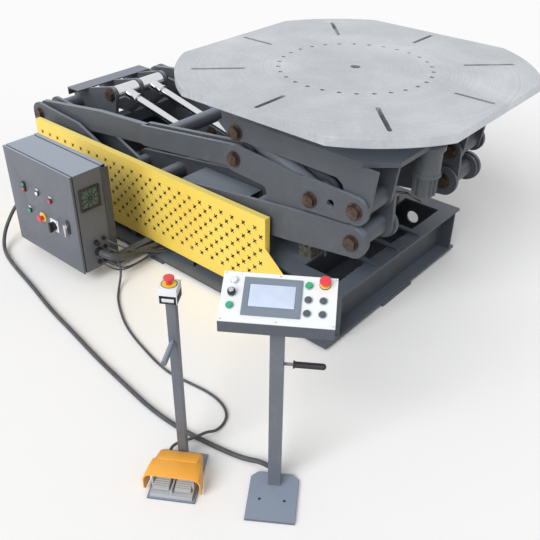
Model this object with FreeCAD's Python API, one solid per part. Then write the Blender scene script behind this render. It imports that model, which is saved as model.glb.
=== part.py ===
import FreeCAD, Part
import math
import os

os.makedirs("parts", exist_ok=True)

# Welding positioner: a parallelogram lift carrying a tilting head with a slewing face plate, its base frame,
# guard, control cabinet, pendant stand and foot pedal stand.
# Millimetres, +X towards the head end, +Y towards the far side, +Z up, origin on the floor under the face plate.

V = FreeCAD.Vector

# ---------------------------------------------------------------- driving dimensions
FLOOR_GAP = 15.0            # pads lift the base frame off the floor
DECK_TOP = 290.0            # top of the base frame
FLANGE_T = 15.0
BASE_HALF = 603.0           # half width of the base frame over its flanges
RAIL_W = 105.0              # flange width of the two long side beams
BASE_FRONT = 425.0
BASE_REAR = -2200.0
FRONT_FLANGE = 85.0
STRIP_OUT = 706.0           # outer edge of the anchor strip on the operator's side
ANCHOR_X = (-2092.0, -890.0, 312.0)
ANCHOR_IN = 48.0            # anchor holes, in from the strip's edge
ANCHOR_R = 13.0

ARM_LEN_X = 1780.0          # both arms: pivot to pivot, along X
ARM_LEN_Z = 227.0           # and up
P1 = (-2117.0, 549.0)       # rear pivot of the upper arms (x, z)
B5 = (436.0, 594.0)         # front pivot of the lower arms
B4 = (440.0, 763.0)         # tilt axis of the head
B3 = (182.0, 733.0)         # tilt cylinder pin on the carrier
B1 = (-322.0, 925.0)        # tilt cylinder pin on the head
B1_BOSS_R = 48.0
BOLT_HOLE = (303.0, 756.0)  # plain hole in the carrier nose plates
KPIN = (-1755.0, 680.0)     # rod end of the lift cylinders
LIFT_SLOPE = 12.0           # lift cylinders run down to the front at this angle
LIFT_LEN = 1455.0           # lift cylinder, pin to pin, arms down
B2 = (P1[0] + ARM_LEN_X, P1[1] + ARM_LEN_Z)
QPIN = (B5[0] - ARM_LEN_X, B5[1] - ARM_LEN_Z)
SPIN = (KPIN[0] + LIFT_LEN * math.cos(math.radians(LIFT_SLOPE)),
        KPIN[1] - LIFT_LEN * math.sin(math.radians(LIFT_SLOPE)))

# lateral positions of the plates on the far side; the operator's side is the mirror image
LV_A = (555.0, 575.0)       # lower arm outer plate, carrier nose plate
LV_B = (530.0, 550.0)       # tower outer plate, carrier main plate, head side plate
LV_C = (505.0, 525.0)       # upper arm outer plate
LV_BAR = (470.0, 505.0)     # upper arm rear bar
LV_D = (445.0, 470.0)       # upper arm inner plate
LV_E = (415.0, 440.0)       # carrier second plate
LV_HI = (390.0, 410.0)      # tower inner plate
LV_HL = (340.0, 360.0)      # head inner leg
LV_CI = (315.0, 335.0)      # carrier inner plate
LV_LI = (290.0, 310.0)      # lower arm inner plate

PIN_R = 28.0
PIN_CLEAR = 0.05            # running clearance of every pin in its bore
HEX_AF = 62.0
HEX_T = 20.0
WASHER_R = 42.0
WASHER_T = 5.0
TUBE_R = 48.0

TABLE_TOP = 1201.0
TABLE_T = 40.0
TABLE_R = 914.4             # over the rounded corners
TABLE_FLAT = 812.0          # half distance between opposite flats
BOLT_CIRCLE = 392.0
BOLT_COUNT = 30
BOLT_HOLE_R = 11.0
CENTRE_R = 25.0
SLOT_W = 22.0
SLOT_IN = 570.0
SLOT_FLAT_OUT = 755.0
SLOT_CORNER_OUT = 820.0
HEAD_TOP = 1000.0
HEAD_T = 26.0
HEAD_HALF = 550.0
HEAD_FRONT = 570.0
HEAD_REAR = -540.0
GEAR_R = 462.0
GEAR_TEETH = 84
PINION_TEETH = 14
GEAR_H = 70.0
GEAR_PLAY = 1.9             # added to the centre distance of ring and pinion

CYL_PITCH = 215.0           # pitch of the three lift clevis plates

PENDANT_CABLE_R = 11.0
PEDAL_CABLE_R = 6.5
LAY = 0.3                   # a cable on the floor lies this far above it
CORD_FROM = (-54.0, 79.0, 26.0)     # the pendant's cable goes from here into the back of the post
CORD_ENTRY = (13.3, 15.3, 47.6)
CORD_PLAY = 0.05            # the cable fills its hole

CAB_X0, CAB_X1 = -1568.0, -948.0
CAB_BACK, CAB_FRONT = -951.0, -1130.0
CAB_Z0, CAB_Z1 = 80.0, 682.0
DOOR_T = 20.0
DOOR_GAP = 0.3

GUARD_Y = -640.0
GUARD_X0, GUARD_X1 = -2040.0, -45.0
GUARD_Z0, GUARD_Z1 = 72.0, 562.0
GUARD_T = 3.0
GUARD_LIP = 38.0

STAND_AT = (765.0, -1504.0)  # post of the pendant stand
STAND_TURN = 34.4
STAND_HOLE_X, STAND_HOLE_Y = 50.0, -96.0
STAND_HOLE_R = 6.5
POST = 50.0
CONSOLE_W = 395.0
CONSOLE_D = 195.0
CONSOLE_TILT = 25.0
CONSOLE_FRONT_H = 45.0
CONSOLE_Z = 845.0

PEDAL_AT = (398.0, -1667.0)  # post of the pedal stand
PEDAL_TURN = 32.5
PEDAL_POST = 35.0


# ---------------------------------------------------------------- helpers
def box(x0, x1, y0, y1, z0, z1):
    return Part.makeBox(x1 - x0, y1 - y0, z1 - z0, V(x0, y0, z0))


def cyl_y(x, z, r, y0, y1):
    return Part.makeCylinder(r, y1 - y0, V(x, y0, z), V(0, 1, 0))


def cyl_z(x, y, r, z0, z1):
    return Part.makeCylinder(r, z1 - z0, V(x, y, z0), V(0, 0, 1))


def cyl_x(y, z, r, x0, x1):
    return Part.makeCylinder(r, x1 - x0, V(x0, y, z), V(1, 0, 0))


def fuse(shapes):
    shapes = list(shapes)
    out = shapes[0]
    if len(shapes) > 1:
        out = out.multiFuse(shapes[1:])
    return out.removeSplitter()


def stack(shapes):
    """Members of a welded frame as solids of their own, none of them inside another."""
    kept = []
    for s in shapes:
        for k in kept:
            if s.BoundBox.intersect(k.BoundBox):
                s = s.cut(k)
        kept += s.Solids
    return Part.makeCompound(kept)


def other_side(shape):
    return shape.mirror(V(0, 0, 0), V(0, 1, 0))


def both(shapes):
    shapes = list(shapes)
    return shapes + [other_side(s) for s in shapes]


def plate_xz(points, y0, y1):
    """Flat plate with the given outline in X and Z."""
    pts = [V(x, y0, z) for x, z in points]
    face = Part.Face(Part.makePolygon(pts + [pts[0]]))
    return face.extrude(V(0, y1 - y0, 0))


def plate_xy(points, z0, z1):
    pts = [V(x, y, z0) for x, y in points]
    face = Part.Face(Part.makePolygon(pts + [pts[0]]))
    return face.extrude(V(0, 0, z1 - z0))


def tangent_points(c1, r1, c2, r2, side):
    """Outer tangent line of two circles, on the left (+1) or right (-1) going from c1 to c2."""
    dx, dz = c2[0] - c1[0], c2[1] - c1[1]
    d = math.hypot(dx, dz)
    base = math.atan2(dz, dx)
    off = math.acos((r1 - r2) / d)
    a = base + side * off
    return ((c1[0] + r1 * math.cos(a), c1[1] + r1 * math.sin(a)),
            (c2[0] + r2 * math.cos(a), c2[1] + r2 * math.sin(a)))


def link(c1, r1, c2, r2, y0, y1):
    """Plate with two round ends joined by straight edges."""
    a1, a2 = tangent_points(c1, r1, c2, r2, 1)
    b1, b2 = tangent_points(c1, r1, c2, r2, -1)
    web = plate_xz([a1, a2, b2, b1], y0, y1)
    return fuse([web, cyl_y(c1[0], c1[1], r1, y0, y1), cyl_y(c2[0], c2[1], r2, y0, y1)])


def bore(shape, centre, r, y0=-700.0, y1=700.0):
    return shape.cut(cyl_y(centre[0], centre[1], r, y0, y1))


def tube_y(centre, r_out, r_in, y0, y1):
    return cyl_y(centre[0], centre[1], r_out, y0, y1).cut(cyl_y(centre[0], centre[1], r_in, y0 - 1, y1 + 1))


def hexagon(af):
    r = af / math.sqrt(3.0)
    return [(r * math.cos(math.radians(60 * k + 30)), r * math.sin(math.radians(60 * k + 30))) for k in range(6)]


def pin_head(centre, y, out):
    """Washer and hex head on a plate face at y, pointing towards out (+1 or -1 along Y)."""
    w0, w1 = sorted((y, y + out * WASHER_T))
    h0, h1 = sorted((y + out * WASHER_T, y + out * (WASHER_T + HEX_T)))
    washer = cyl_y(centre[0], centre[1], WASHER_R, w0, w1)
    head = plate_xz([(centre[0] + a, centre[1] + b) for a, b in hexagon(HEX_AF)], h0, h1)
    dimple = cyl_y(centre[0], centre[1], 3.0, min(h1, y + out * (WASHER_T + HEX_T - 4)) if out > 0 else h0 - 1,
                   h1 + 1 if out > 0 else h0 + 4)
    return [washer, head.cut(dimple)]


def pin(centre, y_out, y_in, two_heads):
    """Far side pin from its outer plate face to its inner one."""
    parts = [cyl_y(centre[0], centre[1], PIN_R, y_in, y_out)] + pin_head(centre, y_out, 1)
    if two_heads:
        parts += pin_head(centre, y_in, -1)
    else:
        parts.append(cyl_y(centre[0], centre[1], PIN_R, y_in - 14.0, y_in))
    return fuse(parts)


def place(shape, at, turn_deg, z=0.0):
    s = shape.copy()
    s.rotate(V(0, 0, 0), V(0, 0, 1), turn_deg)
    s.translate(V(at[0], at[1], z))
    return s


def ibeam_x(x0, x1, yc, width, web=10.0):
    zb, zt = FLOOR_GAP, DECK_TOP
    return [box(x0, x1, yc - width / 2, yc + width / 2, zt - FLANGE_T, zt),
            box(x0, x1, yc - width / 2, yc + width / 2, zb, zb + FLANGE_T),
            box(x0, x1, yc - web / 2, yc + web / 2, zb + FLANGE_T, zt - FLANGE_T)]


def channel_y(x_web, x_open, y0, y1, web=10.0):
    """Channel across the machine with its web at x_web and its flanges reaching to x_open."""
    xa, xb = sorted((x_web, x_open))
    w0, w1 = (xa, xa + web) if x_web < x_open else (xb - web, xb)
    return [box(xa, xb, y0, y1, DECK_TOP - FLANGE_T, DECK_TOP),
            box(xa, xb, y0, y1, FLOOR_GAP, FLOOR_GAP + FLANGE_T),
            box(w0, w1, y0, y1, FLOOR_GAP + FLANGE_T, DECK_TOP - FLANGE_T)]


BORE = PIN_R + PIN_CLEAR
nodes = {}


# ---------------------------------------------------------------- base frame
def base_frame():
    rail_c = BASE_HALF - RAIL_W / 2
    parts = []
    parts += ibeam_x(BASE_REAR, BASE_FRONT - FRONT_FLANGE, rail_c, RAIL_W)
    parts += ibeam_x(BASE_REAR, BASE_FRONT - FRONT_FLANGE, -rail_c, RAIL_W)
    parts += channel_y(BASE_FRONT - FRONT_FLANGE, BASE_FRONT, -BASE_HALF, BASE_HALF)
    parts += channel_y(BASE_REAR + FRONT_FLANGE, BASE_REAR, -BASE_HALF, BASE_HALF)
    inner = rail_c - 2.0
    parts += channel_y(15.0, 111.0, -inner, inner)
    parts += channel_y(-995.0, -1080.0, -inner, inner)
    hook_c = (LV_HI[0] + LV_HI[1]) / 2
    for s in (1, -1):
        parts += ibeam_x(BASE_REAR + 10.0, -1000.0, s * hook_c, 70.0)
    # deck plate that carries the power unit
    parts.append(box(-1000.0, 20.0, -BASE_HALF + RAIL_W, -310.0, DECK_TOP - 8.0, DECK_TOP))
    parts.append(box(-1000.0, 20.0, -318.0, -310.0, 230.0, DECK_TOP))
    # end plates that close the front channel
    for y0 in (-BASE_HALF, 546.0):
        parts.append(box(BASE_FRONT - FRONT_FLANGE, BASE_FRONT, y0, y0 + 10.0, FLOOR_GAP, DECK_TOP))
    # stiffeners in the operator's side beam
    for x in (-1700.0, -1100.0, -500.0, 0.0):
        parts.append(box(x, x + 10.0, -BASE_HALF + 2.0, -rail_c, FLOOR_GAP + FLANGE_T, DECK_TOP - FLANGE_T))
    # anchor strip along the operator's side
    parts.append(box(BASE_REAR, BASE_FRONT, -STRIP_OUT, -BASE_HALF + 4.0, FLOOR_GAP, FLOOR_GAP + FLANGE_T))
    # guard posts and the two cabinet outriggers on the strip
    for x in (-1900.0, -1150.0, -640.0, -120.0):
        parts.append(box(x, x + 40.0, GUARD_Y + GUARD_T, GUARD_Y + GUARD_T + 5.0, FLOOR_GAP + FLANGE_T, 520.0))
        parts.append(box(x, x + 5.0, GUARD_Y + GUARD_T, GUARD_Y + GUARD_T + 30.0, FLOOR_GAP + FLANGE_T, 520.0))
    for x in (CAB_X1 - 50.0, CAB_X0 + 10.0):
        parts.append(box(x, x + 50.0, CAB_BACK + 46.0, -STRIP_OUT + 60.0, FLOOR_GAP + FLANGE_T, FLOOR_GAP + 65.0))
        # upright channel the cabinet is bolted to, open towards the machine
        parts.append(box(x - 5.0, x + 55.0, CAB_BACK, CAB_BACK + 4.0, 41.0, 668.0))
        parts.append(box(x - 5.0, x - 1.0, CAB_BACK, CAB_BACK + 46.0, 41.0, 668.0))
        parts.append(box(x + 51.0, x + 55.0, CAB_BACK, CAB_BACK + 46.0, 41.0, 668.0))
        parts.append(box(x - 5.0, x + 55.0, CAB_BACK, CAB_BACK + 52.0, 41.0, 45.0))
    # three bars welded on the front half, where an operator steps
    for y in (-255.0, -45.0, 165.0):
        parts.append(box(20.0, BASE_FRONT - 20.0, y - 16.0, y + 16.0, DECK_TOP, DECK_TOP + 12.0))
    # pads under the frame
    parts.append(box(BASE_FRONT - 95.0, BASE_FRONT + 7.0, -190.0, 100.0, 0.0, FLOOR_GAP))
    for x in (-2150.0, -900.0):
        parts.append(box(x, x + 110.0, -STRIP_OUT - 4.0, -STRIP_OUT + 140.0, 0.0, FLOOR_GAP))
        parts.append(box(x, x + 110.0, BASE_HALF - RAIL_W, BASE_HALF + 4.0, 0.0, FLOOR_GAP))
    holes = [cyl_z(x, -(STRIP_OUT - ANCHOR_IN), ANCHOR_R, -10.0, 60.0) for x in ANCHOR_X]
    for x in (-1500.0, 150.0):
        holes += [cyl_y(x, 150.0, 40.0, 540.0, 560.0), cyl_y(x, 150.0, 40.0, -560.0, -540.0)]
    return stack([p.cut(Part.makeCompound(holes)) for p in parts])


nodes["base_frame"] = base_frame()


# ---------------------------------------------------------------- rear tower
def hook_plate(y0, y1):
    """Tower plate: round at both pivots, standing on the base frame."""
    r = 75.0
    top_rear, _ = tangent_points(P1, r, (P1[0] + 430.0, P1[1] - 30.0), r, 1)
    knee = (-1703.0, 592.0)
    right_top = (QPIN[0] + r * math.sin(math.radians(30)), QPIN[1] + r * math.cos(math.radians(30)))
    outline = [(P1[0] - r, P1[1]), (P1[0] - r, DECK_TOP), (QPIN[0] + r, DECK_TOP), (QPIN[0] + r, QPIN[1]),
               right_top, knee, top_rear]
    body = fuse([plate_xz(outline, y0, y1), cyl_y(P1[0], P1[1], r, y0, y1), cyl_y(QPIN[0], QPIN[1], r, y0, y1)])
    return bore(bore(body, P1, BORE), QPIN, BORE)


def tower():
    parts = [hook_plate(*LV_B), hook_plate(*LV_HI)]
    # spacer tube round the lower pivot between the two plates
    parts.append(tube_y(QPIN, 45.0, BORE, LV_HI[1], LV_B[0]))
    side = [fuse(parts)]
    middle = [tube_y(P1, 46.0, 32.0, -LV_HI[0], LV_HI[0])]
    # three clevis plates for the lift cylinders
    for y in (-CYL_PITCH, 0.0, CYL_PITCH):
        shape = [(-2172.0, 470.0), (-2172.0, 612.0), (-2155.0, 626.0), (KPIN[0] - 16.0, KPIN[1] + 49.0),
                 (KPIN[0] + 51.0, KPIN[1] - 8.0), (KPIN[0] + 30.0, 560.0), (-1850.0, 470.0)]
        p = fuse([plate_xz(shape, y - 12.5, y + 12.5), cyl_y(KPIN[0], KPIN[1], 52.0, y - 12.5, y + 12.5)])
        p = p.cut(cyl_y(P1[0], P1[1], 45.0, y - 20, y + 20))
        middle.append(bore(p, KPIN, BORE))
    # cross channel over the clevis plates and a lower cross beam between the tower plates
    middle.append(box(-2110.0, -1995.0, -316.0, 316.0, 664.0, 672.0))
    middle.append(box(-2110.0, -2102.0, -316.0, 316.0, 622.0, 664.0))
    middle.append(box(-2190.0, -2110.0, -LV_HI[0], LV_HI[0], 400.0, 480.0))
    middle.append(box(-1900.0, -1820.0, -LV_HI[0], LV_HI[0], 400.0, 480.0))
    # base blocks that carry both tower plates
    return fuse(both(side) + middle)


def tower_pins():
    out = []
    p1 = pin(P1, LV_B[1], LV_HI[0], False)
    out += both([p1])
    k_half = CYL_PITCH + 12.5
    kp = [cyl_y(KPIN[0], KPIN[1], PIN_R, -k_half, k_half)]
    kp += pin_head(KPIN, k_half, 1) + pin_head(KPIN, -k_half, -1)
    out.append(fuse(kp))
    return Part.makeCompound(out)


nodes["tower"] = tower()
nodes["tower_pins"] = tower_pins()


# ---------------------------------------------------------------- arms
def on_line(a, b, x):
    return a[1] + (b[1] - a[1]) * (x - a[0]) / (b[0] - a[0])


def upper_arms():
    x_mid = P1[0] + 990.0
    mid = (x_mid, on_line(P1, B2, x_mid))
    up = 62.0
    bar = [(P1[0] - 20.0, P1[1] + 72.0), (P1[0] + 600.0, on_line(P1, B2, P1[0] + 600.0) + 82.0),
           (mid[0] + 30.0, mid[1] + up), (mid[0] + 30.0, mid[1] - up),
           (P1[0] + 600.0, on_line(P1, B2, P1[0] + 600.0) - 62.0), (P1[0], P1[1] - 66.0)]
    rear = fuse([plate_xz(bar, *LV_BAR), cyl_y(P1[0], P1[1], 70.0, *LV_BAR),
                 cyl_y(P1[0], P1[1], 46.0, LV_HI[1] + 2.0, LV_B[0] - 2.0)])
    outer = link((mid[0] + 40.0, mid[1] + 2.5), 62.0, B2, 64.0, *LV_C)
    outer = outer.common(box(mid[0] + 5.0, 0.0, 400.0, 600.0, 0.0, 2000.0))
    inner = link((mid[0] + 40.0, mid[1] + 2.5), 62.0, B2, 64.0, *LV_D)
    inner = inner.common(box(mid[0] - 75.0, 0.0, 400.0, 600.0, 0.0, 2000.0))
    spacer = box(B2[0] - 190.0, B2[0] - 150.0, LV_D[1], LV_C[0], B2[1] - 75.0, B2[1] - 5.0)
    side = fuse([rear, outer, inner, spacer])
    side = bore(bore(side, P1, BORE), B2, BORE)
    cross = cyl_y(mid[0] + 140.0, mid[1] + 15.0, 44.0, -LV_D[0], LV_D[0])
    return fuse(both([side]) + [cross])


def lower_arm_plate(y0, y1):
    x1, x2 = QPIN[0] + 850.0, QPIN[0] + 1400.0
    z1, z2 = on_line(QPIN, B5, x1), on_line(QPIN, B5, x2)
    outline = [(QPIN[0], QPIN[1] + 76.0), (x1, z1 + 88.0), (x2, z2 + 90.0), (B5[0] - 6.0, B5[1] + 82.0),
               (B5[0] - 4.0, B5[1] - 82.0), (x2, z2 - 92.0), (x1, z1 - 92.0), (QPIN[0], QPIN[1] - 76.0)]
    p = fuse([plate_xz(outline, y0, y1), cyl_y(QPIN[0], QPIN[1], 76.0, y0, y1),
              cyl_y(B5[0], B5[1], 82.0, y0, y1)])
    return bore(bore(p, QPIN, BORE), B5, BORE)


def lower_arms():
    side = [lower_arm_plate(*LV_A), lower_arm_plate(*LV_LI)]
    for x in (-1020.0, -205.0):
        z = on_line(QPIN, B5, x)
        side.append(cyl_y(x, z, 50.0, LV_LI[1], LV_A[0]))
    side.append(tube_y(QPIN, 45.0, BORE, LV_LI[1], LV_HI[0] - 2.0))
    parts = both([fuse(side)])
    # cross tube between the inner plates with the lugs of the lift cylinders
    zc = on_line(QPIN, B5, SPIN[0])
    parts.append(cyl_y(SPIN[0], zc, 52.0, -LV_LI[0], LV_LI[0]))
    for y in (-CYL_PITCH, 0.0, CYL_PITCH):
        half = 12.5
        lug = fuse([link((SPIN[0], zc), 56.0, SPIN, 42.0, y - half, y + half)])
        parts.append(bore(lug, SPIN, BORE))
    parts.append(cyl_y(-1020.0, on_line(QPIN, B5, -1020.0), 50.0, -LV_LI[0], LV_LI[0]))
    return fuse(parts)


def lower_arm_pins():
    out = both([pin(QPIN, LV_A[1], LV_LI[0], True), pin(B5, LV_A[1], LV_LI[0], True)])
    half = CYL_PITCH + 12.5
    sp = [cyl_y(SPIN[0], SPIN[1], PIN_R, -half, half), cyl_y(SPIN[0], SPIN[1], 36.0, half, half + 10.0),
          cyl_y(SPIN[0], SPIN[1], 36.0, -half - 10.0, -half)]
    out.append(fuse(sp))
    return Part.makeCompound(out)


nodes["upper_arms"] = upper_arms()
nodes["lower_arms"] = lower_arms()
nodes["lower_arm_pins"] = lower_arm_pins()


# ---------------------------------------------------------------- carriers
def carrier():
    main_outline = [(B2[0] - 20.0, B2[1] + 72.0), (B2[0] + 12.0, B2[1] + 74.0), (150.0, 815.0),
                    (250.0, 740.0), (B5[0] - 20.0, B5[1] + 74.0), (B5[0], B5[1] - 76.0), (120.0, 560.0),
                    (-60.0, 575.0), (-100.0, 610.0), (-126.0, 684.0), (-150.0, 690.0), (B2[0] - 5.0, B2[1] - 75.0)]
    main = fuse([plate_xz(main_outline, *LV_B), cyl_y(B2[0], B2[1], 75.0, *LV_B), cyl_y(B5[0], B5[1], 76.0, *LV_B)])
    nose_outline = [(128.0, 841.0), (B4[0], B4[1] + 72.0), (B4[0], B4[1] - 66.0), (386.0, 686.0), (186.0, 672.0),
                    (128.0, 664.0)]
    nose = fuse([plate_xz(nose_outline, *LV_A), cyl_y(B4[0], B4[1], 72.0, *LV_A)])
    nose = nose.cut(cyl_y(B5[0], B5[1], 86.0, 500.0, 600.0))
    filler = plate_xz([(134.0, 812.0), (150.0, 805.0), (215.0, 756.0), (300.0, 700.0), (200.0, 680.0), (134.0, 680.0)],
                      LV_B[1], LV_A[0])
    second_outline = [(B2[0], B2[1] + 64.0), (B3[0], B3[1] + 64.0), (B3[0] + 60.0, B3[1] - 20.0),
                      (B5[0] - 20.0, B5[1] + 48.0), (B5[0] - 10.0, B5[1] - 48.0), (150.0, 590.0), (-60.0, 650.0),
                      (B2[0], B2[1] - 64.0)]
    second = fuse([plate_xz(second_outline, *LV_E), cyl_y(B2[0], B2[1], 64.0, *LV_E),
                   cyl_y(B3[0], B3[1], 62.0, *LV_E)])
    inner = link(B4, 62.0, B5, 72.0, *LV_CI)
    tube5 = cyl_y(B5[0], B5[1], TUBE_R, LV_CI[1], LV_B[0])
    # webs that tie the main plate to the second plate below the tilt cylinder
    web = box(-40.0, 0.0, LV_E[1], LV_B[0], 600.0, 640.0)
    side = []
    for s in stack([main, nose, filler, second, inner, tube5, web]).Solids:
        for c in (B2, B3, B4, B5):
            s = bore(s, c, BORE)
        side.append(s.cut(cyl_y(BOLT_HOLE[0], BOLT_HOLE[1], 20.0, 520.0, 600.0)))
    return Part.makeCompound(both(side))


def carrier_pins():
    b2 = pin(B2, LV_B[1], LV_E[0], False)
    b3 = pin(B3, LV_A[1], LV_E[0], False)
    b4 = pin(B4, LV_A[1], LV_CI[0], True)
    return Part.makeCompound(both([b2, b3, b4]))


nodes["carriers"] = carrier()
nodes["carrier_pins"] = carrier_pins()


# ---------------------------------------------------------------- head
def head_plate():
    c = 120.0
    pts = [(HEAD_FRONT, -HEAD_HALF + c), (HEAD_FRONT, HEAD_HALF - c), (HEAD_FRONT - c - 10.0, HEAD_HALF),
           (HEAD_REAR + c, HEAD_HALF), (HEAD_REAR, HEAD_HALF - c), (HEAD_REAR, -HEAD_HALF + c),
           (HEAD_REAR + c, -HEAD_HALF), (HEAD_FRONT - c - 10.0, -HEAD_HALF)]
    return plate_xy(pts, HEAD_TOP - HEAD_T, HEAD_TOP).cut(cyl_z(0, 0, 260.0, 900.0, 1100.0))


def head_frame():
    zt = HEAD_TOP - HEAD_T
    r = 60.0
    outer = [(HEAD_REAR + 120.0, zt), (HEAD_REAR + 90.0, 955.0), (B1[0] - 38.0, B1[1] - 40.0),
             (B1[0] + 44.0, B1[1] - 32.0),
             (B1[0] + 60.0, 890.0), (310.0, 884.0), (345.0, 862.0), (B4[0] - r, B4[1] + 10.0), (B4[0] + r, B4[1]),
             (526.0, zt)]
    side = fuse([plate_xz(outer, *LV_B), cyl_y(B1[0], B1[1], B1_BOSS_R, *LV_B), cyl_y(B4[0], B4[1], r, *LV_B)])
    leg = fuse([plate_xz([(330.0, zt), (B4[0] - r, B4[1]), (B4[0] + r, B4[1]), (526.0, zt)], *LV_HL),
                cyl_y(B4[0], B4[1], r, *LV_HL)])
    lug = fuse([plate_xz([(-430.0, zt), (B1[0] - B1_BOSS_R, B1[1]), (B1[0] + B1_BOSS_R, B1[1]), (-150.0, zt)], *LV_E),
                cyl_y(B1[0], B1[1], B1_BOSS_R, *LV_E)])
    tube = cyl_y(B4[0], B4[1], TUBE_R, LV_HL[1], LV_B[0])
    sides = both([bore(bore(s, B4, BORE), B1, BORE) for s in stack([side, leg, lug, tube]).Solids])
    # cross ribs under the plate
    ribs = [box(-460.0, -440.0, -LV_D[0], LV_D[0], 900.0, zt), box(345.0, 365.0, -LV_HL[0], LV_HL[0], 880.0, zt),
            box(-440.0, 345.0, -310.0, -290.0, 900.0, zt), box(-440.0, 345.0, 290.0, 310.0, 900.0, zt)]
    return stack(sides + ribs)


def head_pins():
    return Part.makeCompound(both([pin(B1, LV_B[1], LV_E[0], False)]))


def slew_ring_fixed():
    flange = cyl_z(0, 0, 430.0, HEAD_TOP, HEAD_TOP + 55.0).cut(cyl_z(0, 0, 290.0, 900.0, 1200.0))
    spigot = cyl_z(0, 0, 335.0, HEAD_TOP + 55.0, HEAD_TOP + 150.0).cut(cyl_z(0, 0, 290.0, 900.0, 1300.0))
    return fuse([flange, spigot])


def gear(r_pitch, teeth, module, z0, z1, turn=0.0):
    pts = []
    r_out, r_root = r_pitch + 0.9 * module, r_pitch - 1.15 * module
    step = 2 * math.pi / teeth
    for k in range(teeth):
        a = k * step + turn
        for f, r in ((-0.36, r_root), (-0.14, r_out), (0.14, r_out), (0.36, r_root)):
            pts.append((r * math.cos(a + f * step), r * math.sin(a + f * step)))
    return plate_xy(pts, z0, z1)


def slew_gear():
    module = 2.0 * GEAR_R / GEAR_TEETH
    z0 = HEAD_TOP + 55.3
    g = gear(GEAR_R, GEAR_TEETH, module, z0, z0 + GEAR_H)
    hub = cyl_z(0, 0, 430.0, z0 + GEAR_H, TABLE_TOP - TABLE_T)
    return fuse([g, hub]).cut(cyl_z(0, 0, 335.3, 900.0, 1300.0))


PIN_ANGLE = math.radians(-11.0)
GEAR_MODULE = 2.0 * GEAR_R / GEAR_TEETH
PINION_R = GEAR_MODULE * PINION_TEETH / 2.0
GEAR_CENTRES = GEAR_R + PINION_R + GEAR_PLAY
PINION_C = (GEAR_CENTRES * math.cos(PIN_ANGLE), GEAR_CENTRES * math.sin(PIN_ANGLE))


def drive_pinion():
    # turned so that a gap of the pinion faces a tooth of the ring
    ring_step = 2 * math.pi / GEAR_TEETH
    nearest = round(PIN_ANGLE / ring_step) * ring_step
    pin_step = 2 * math.pi / PINION_TEETH
    lag = (PIN_ANGLE - nearest) * GEAR_TEETH / PINION_TEETH
    turn = PIN_ANGLE + math.pi + lag + pin_step / 2
    g = gear(PINION_R, PINION_TEETH, GEAR_MODULE, 0.0, GEAR_H - 4.0, turn)
    g.translate(V(PINION_C[0], PINION_C[1], HEAD_TOP + 57.0))
    shaft = cyl_z(PINION_C[0], PINION_C[1], 22.0, HEAD_TOP - HEAD_T - 30.0, HEAD_TOP + 57.0)
    return fuse([g, shaft])


def gearmotor():
    x, y = PINION_C
    zt = HEAD_TOP - HEAD_T
    parts = [cyl_z(x, y, 78.0, zt - 24.0, zt), cyl_z(x, y, 66.0, zt - 150.0, zt - 24.0),
             cyl_z(x, y, 72.0, zt - 164.0, zt - 150.0), cyl_z(x, y, 52.0, zt - 270.0, zt - 164.0)]
    for k in range(12):
        a = math.radians(30.0 * k)
        rib = box(48.0, 62.0, -2.5, 2.5, zt - 262.0, zt - 164.0)
        parts.append(place(rib, (x, y), math.degrees(a)))
    s = fuse(parts)
    return s.cut(cyl_z(x, y, 22.05, zt - 40.0, zt + 10.0))


def face_plate():
    disc = cyl_z(0, 0, TABLE_R, TABLE_TOP - TABLE_T, TABLE_TOP)
    s = disc.common(box(-TABLE_FLAT, TABLE_FLAT, -TABLE_FLAT, TABLE_FLAT, TABLE_TOP - TABLE_T, TABLE_TOP))
    cuts = [cyl_z(0, 0, CENTRE_R, 1000.0, 1300.0)]
    for k in range(8):
        out = SLOT_FLAT_OUT if k % 2 == 0 else SLOT_CORNER_OUT
        slot = fuse([box(SLOT_IN, out, -SLOT_W / 2, SLOT_W / 2, 1100.0, 1300.0),
                     cyl_z(SLOT_IN, 0, SLOT_W / 2, 1100.0, 1300.0), cyl_z(out, 0, SLOT_W / 2, 1100.0, 1300.0)])
        cuts.append(place(slot, (0, 0), 45.0 * k))
    for k in range(BOLT_COUNT):
        a = 2 * math.pi * (k + 0.5) / BOLT_COUNT
        x, y = BOLT_CIRCLE * math.cos(a), BOLT_CIRCLE * math.sin(a)
        cuts.append(cyl_z(x, y, BOLT_HOLE_R, 1100.0, 1300.0))
    return s.cut(Part.makeCompound(cuts))


nodes["head_plate"] = head_plate()
nodes["head_frame"] = head_frame()
nodes["head_pins"] = head_pins()
nodes["slew_ring_fixed"] = slew_ring_fixed()
nodes["slew_gear"] = slew_gear()
nodes["drive_pinion"] = drive_pinion()
nodes["gearmotor"] = gearmotor()
nodes["face_plate"] = face_plate()
head_hole = cyl_z(PINION_C[0], PINION_C[1], 30.0, 900.0, 1100.0)
nodes["head_plate"] = nodes["head_plate"].cut(head_hole)


# ---------------------------------------------------------------- cylinders
def along(a, b, start, length, r, y):
    """Round bar on the line from a to b in the plane y, starting at the distance start from a."""
    d = V(b[0] - a[0], 0, b[1] - a[1])
    d.normalize()
    p = V(a[0], y, a[1]) + d * start
    return Part.makeCylinder(r, length, p, d)


def lift_rods():
    out = []
    for y in (-CYL_PITCH / 2, CYL_PITCH / 2):
        eye = cyl_y(KPIN[0], KPIN[1], 47.0, y - 88.0, y + 88.0)
        neck = along(KPIN, SPIN, 30.0, 95.0, 34.0, y)
        nut = along(KPIN, SPIN, 125.0, 16.0, 37.0, y)
        rod = along(KPIN, SPIN, 141.0, 700.0, 26.0, y)
        piston = along(KPIN, SPIN, 841.0, 30.0, 30.0, y)
        out.append(bore(fuse([eye, neck, nut, rod, piston]), KPIN, BORE))
    return Part.makeCompound(out)


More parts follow.
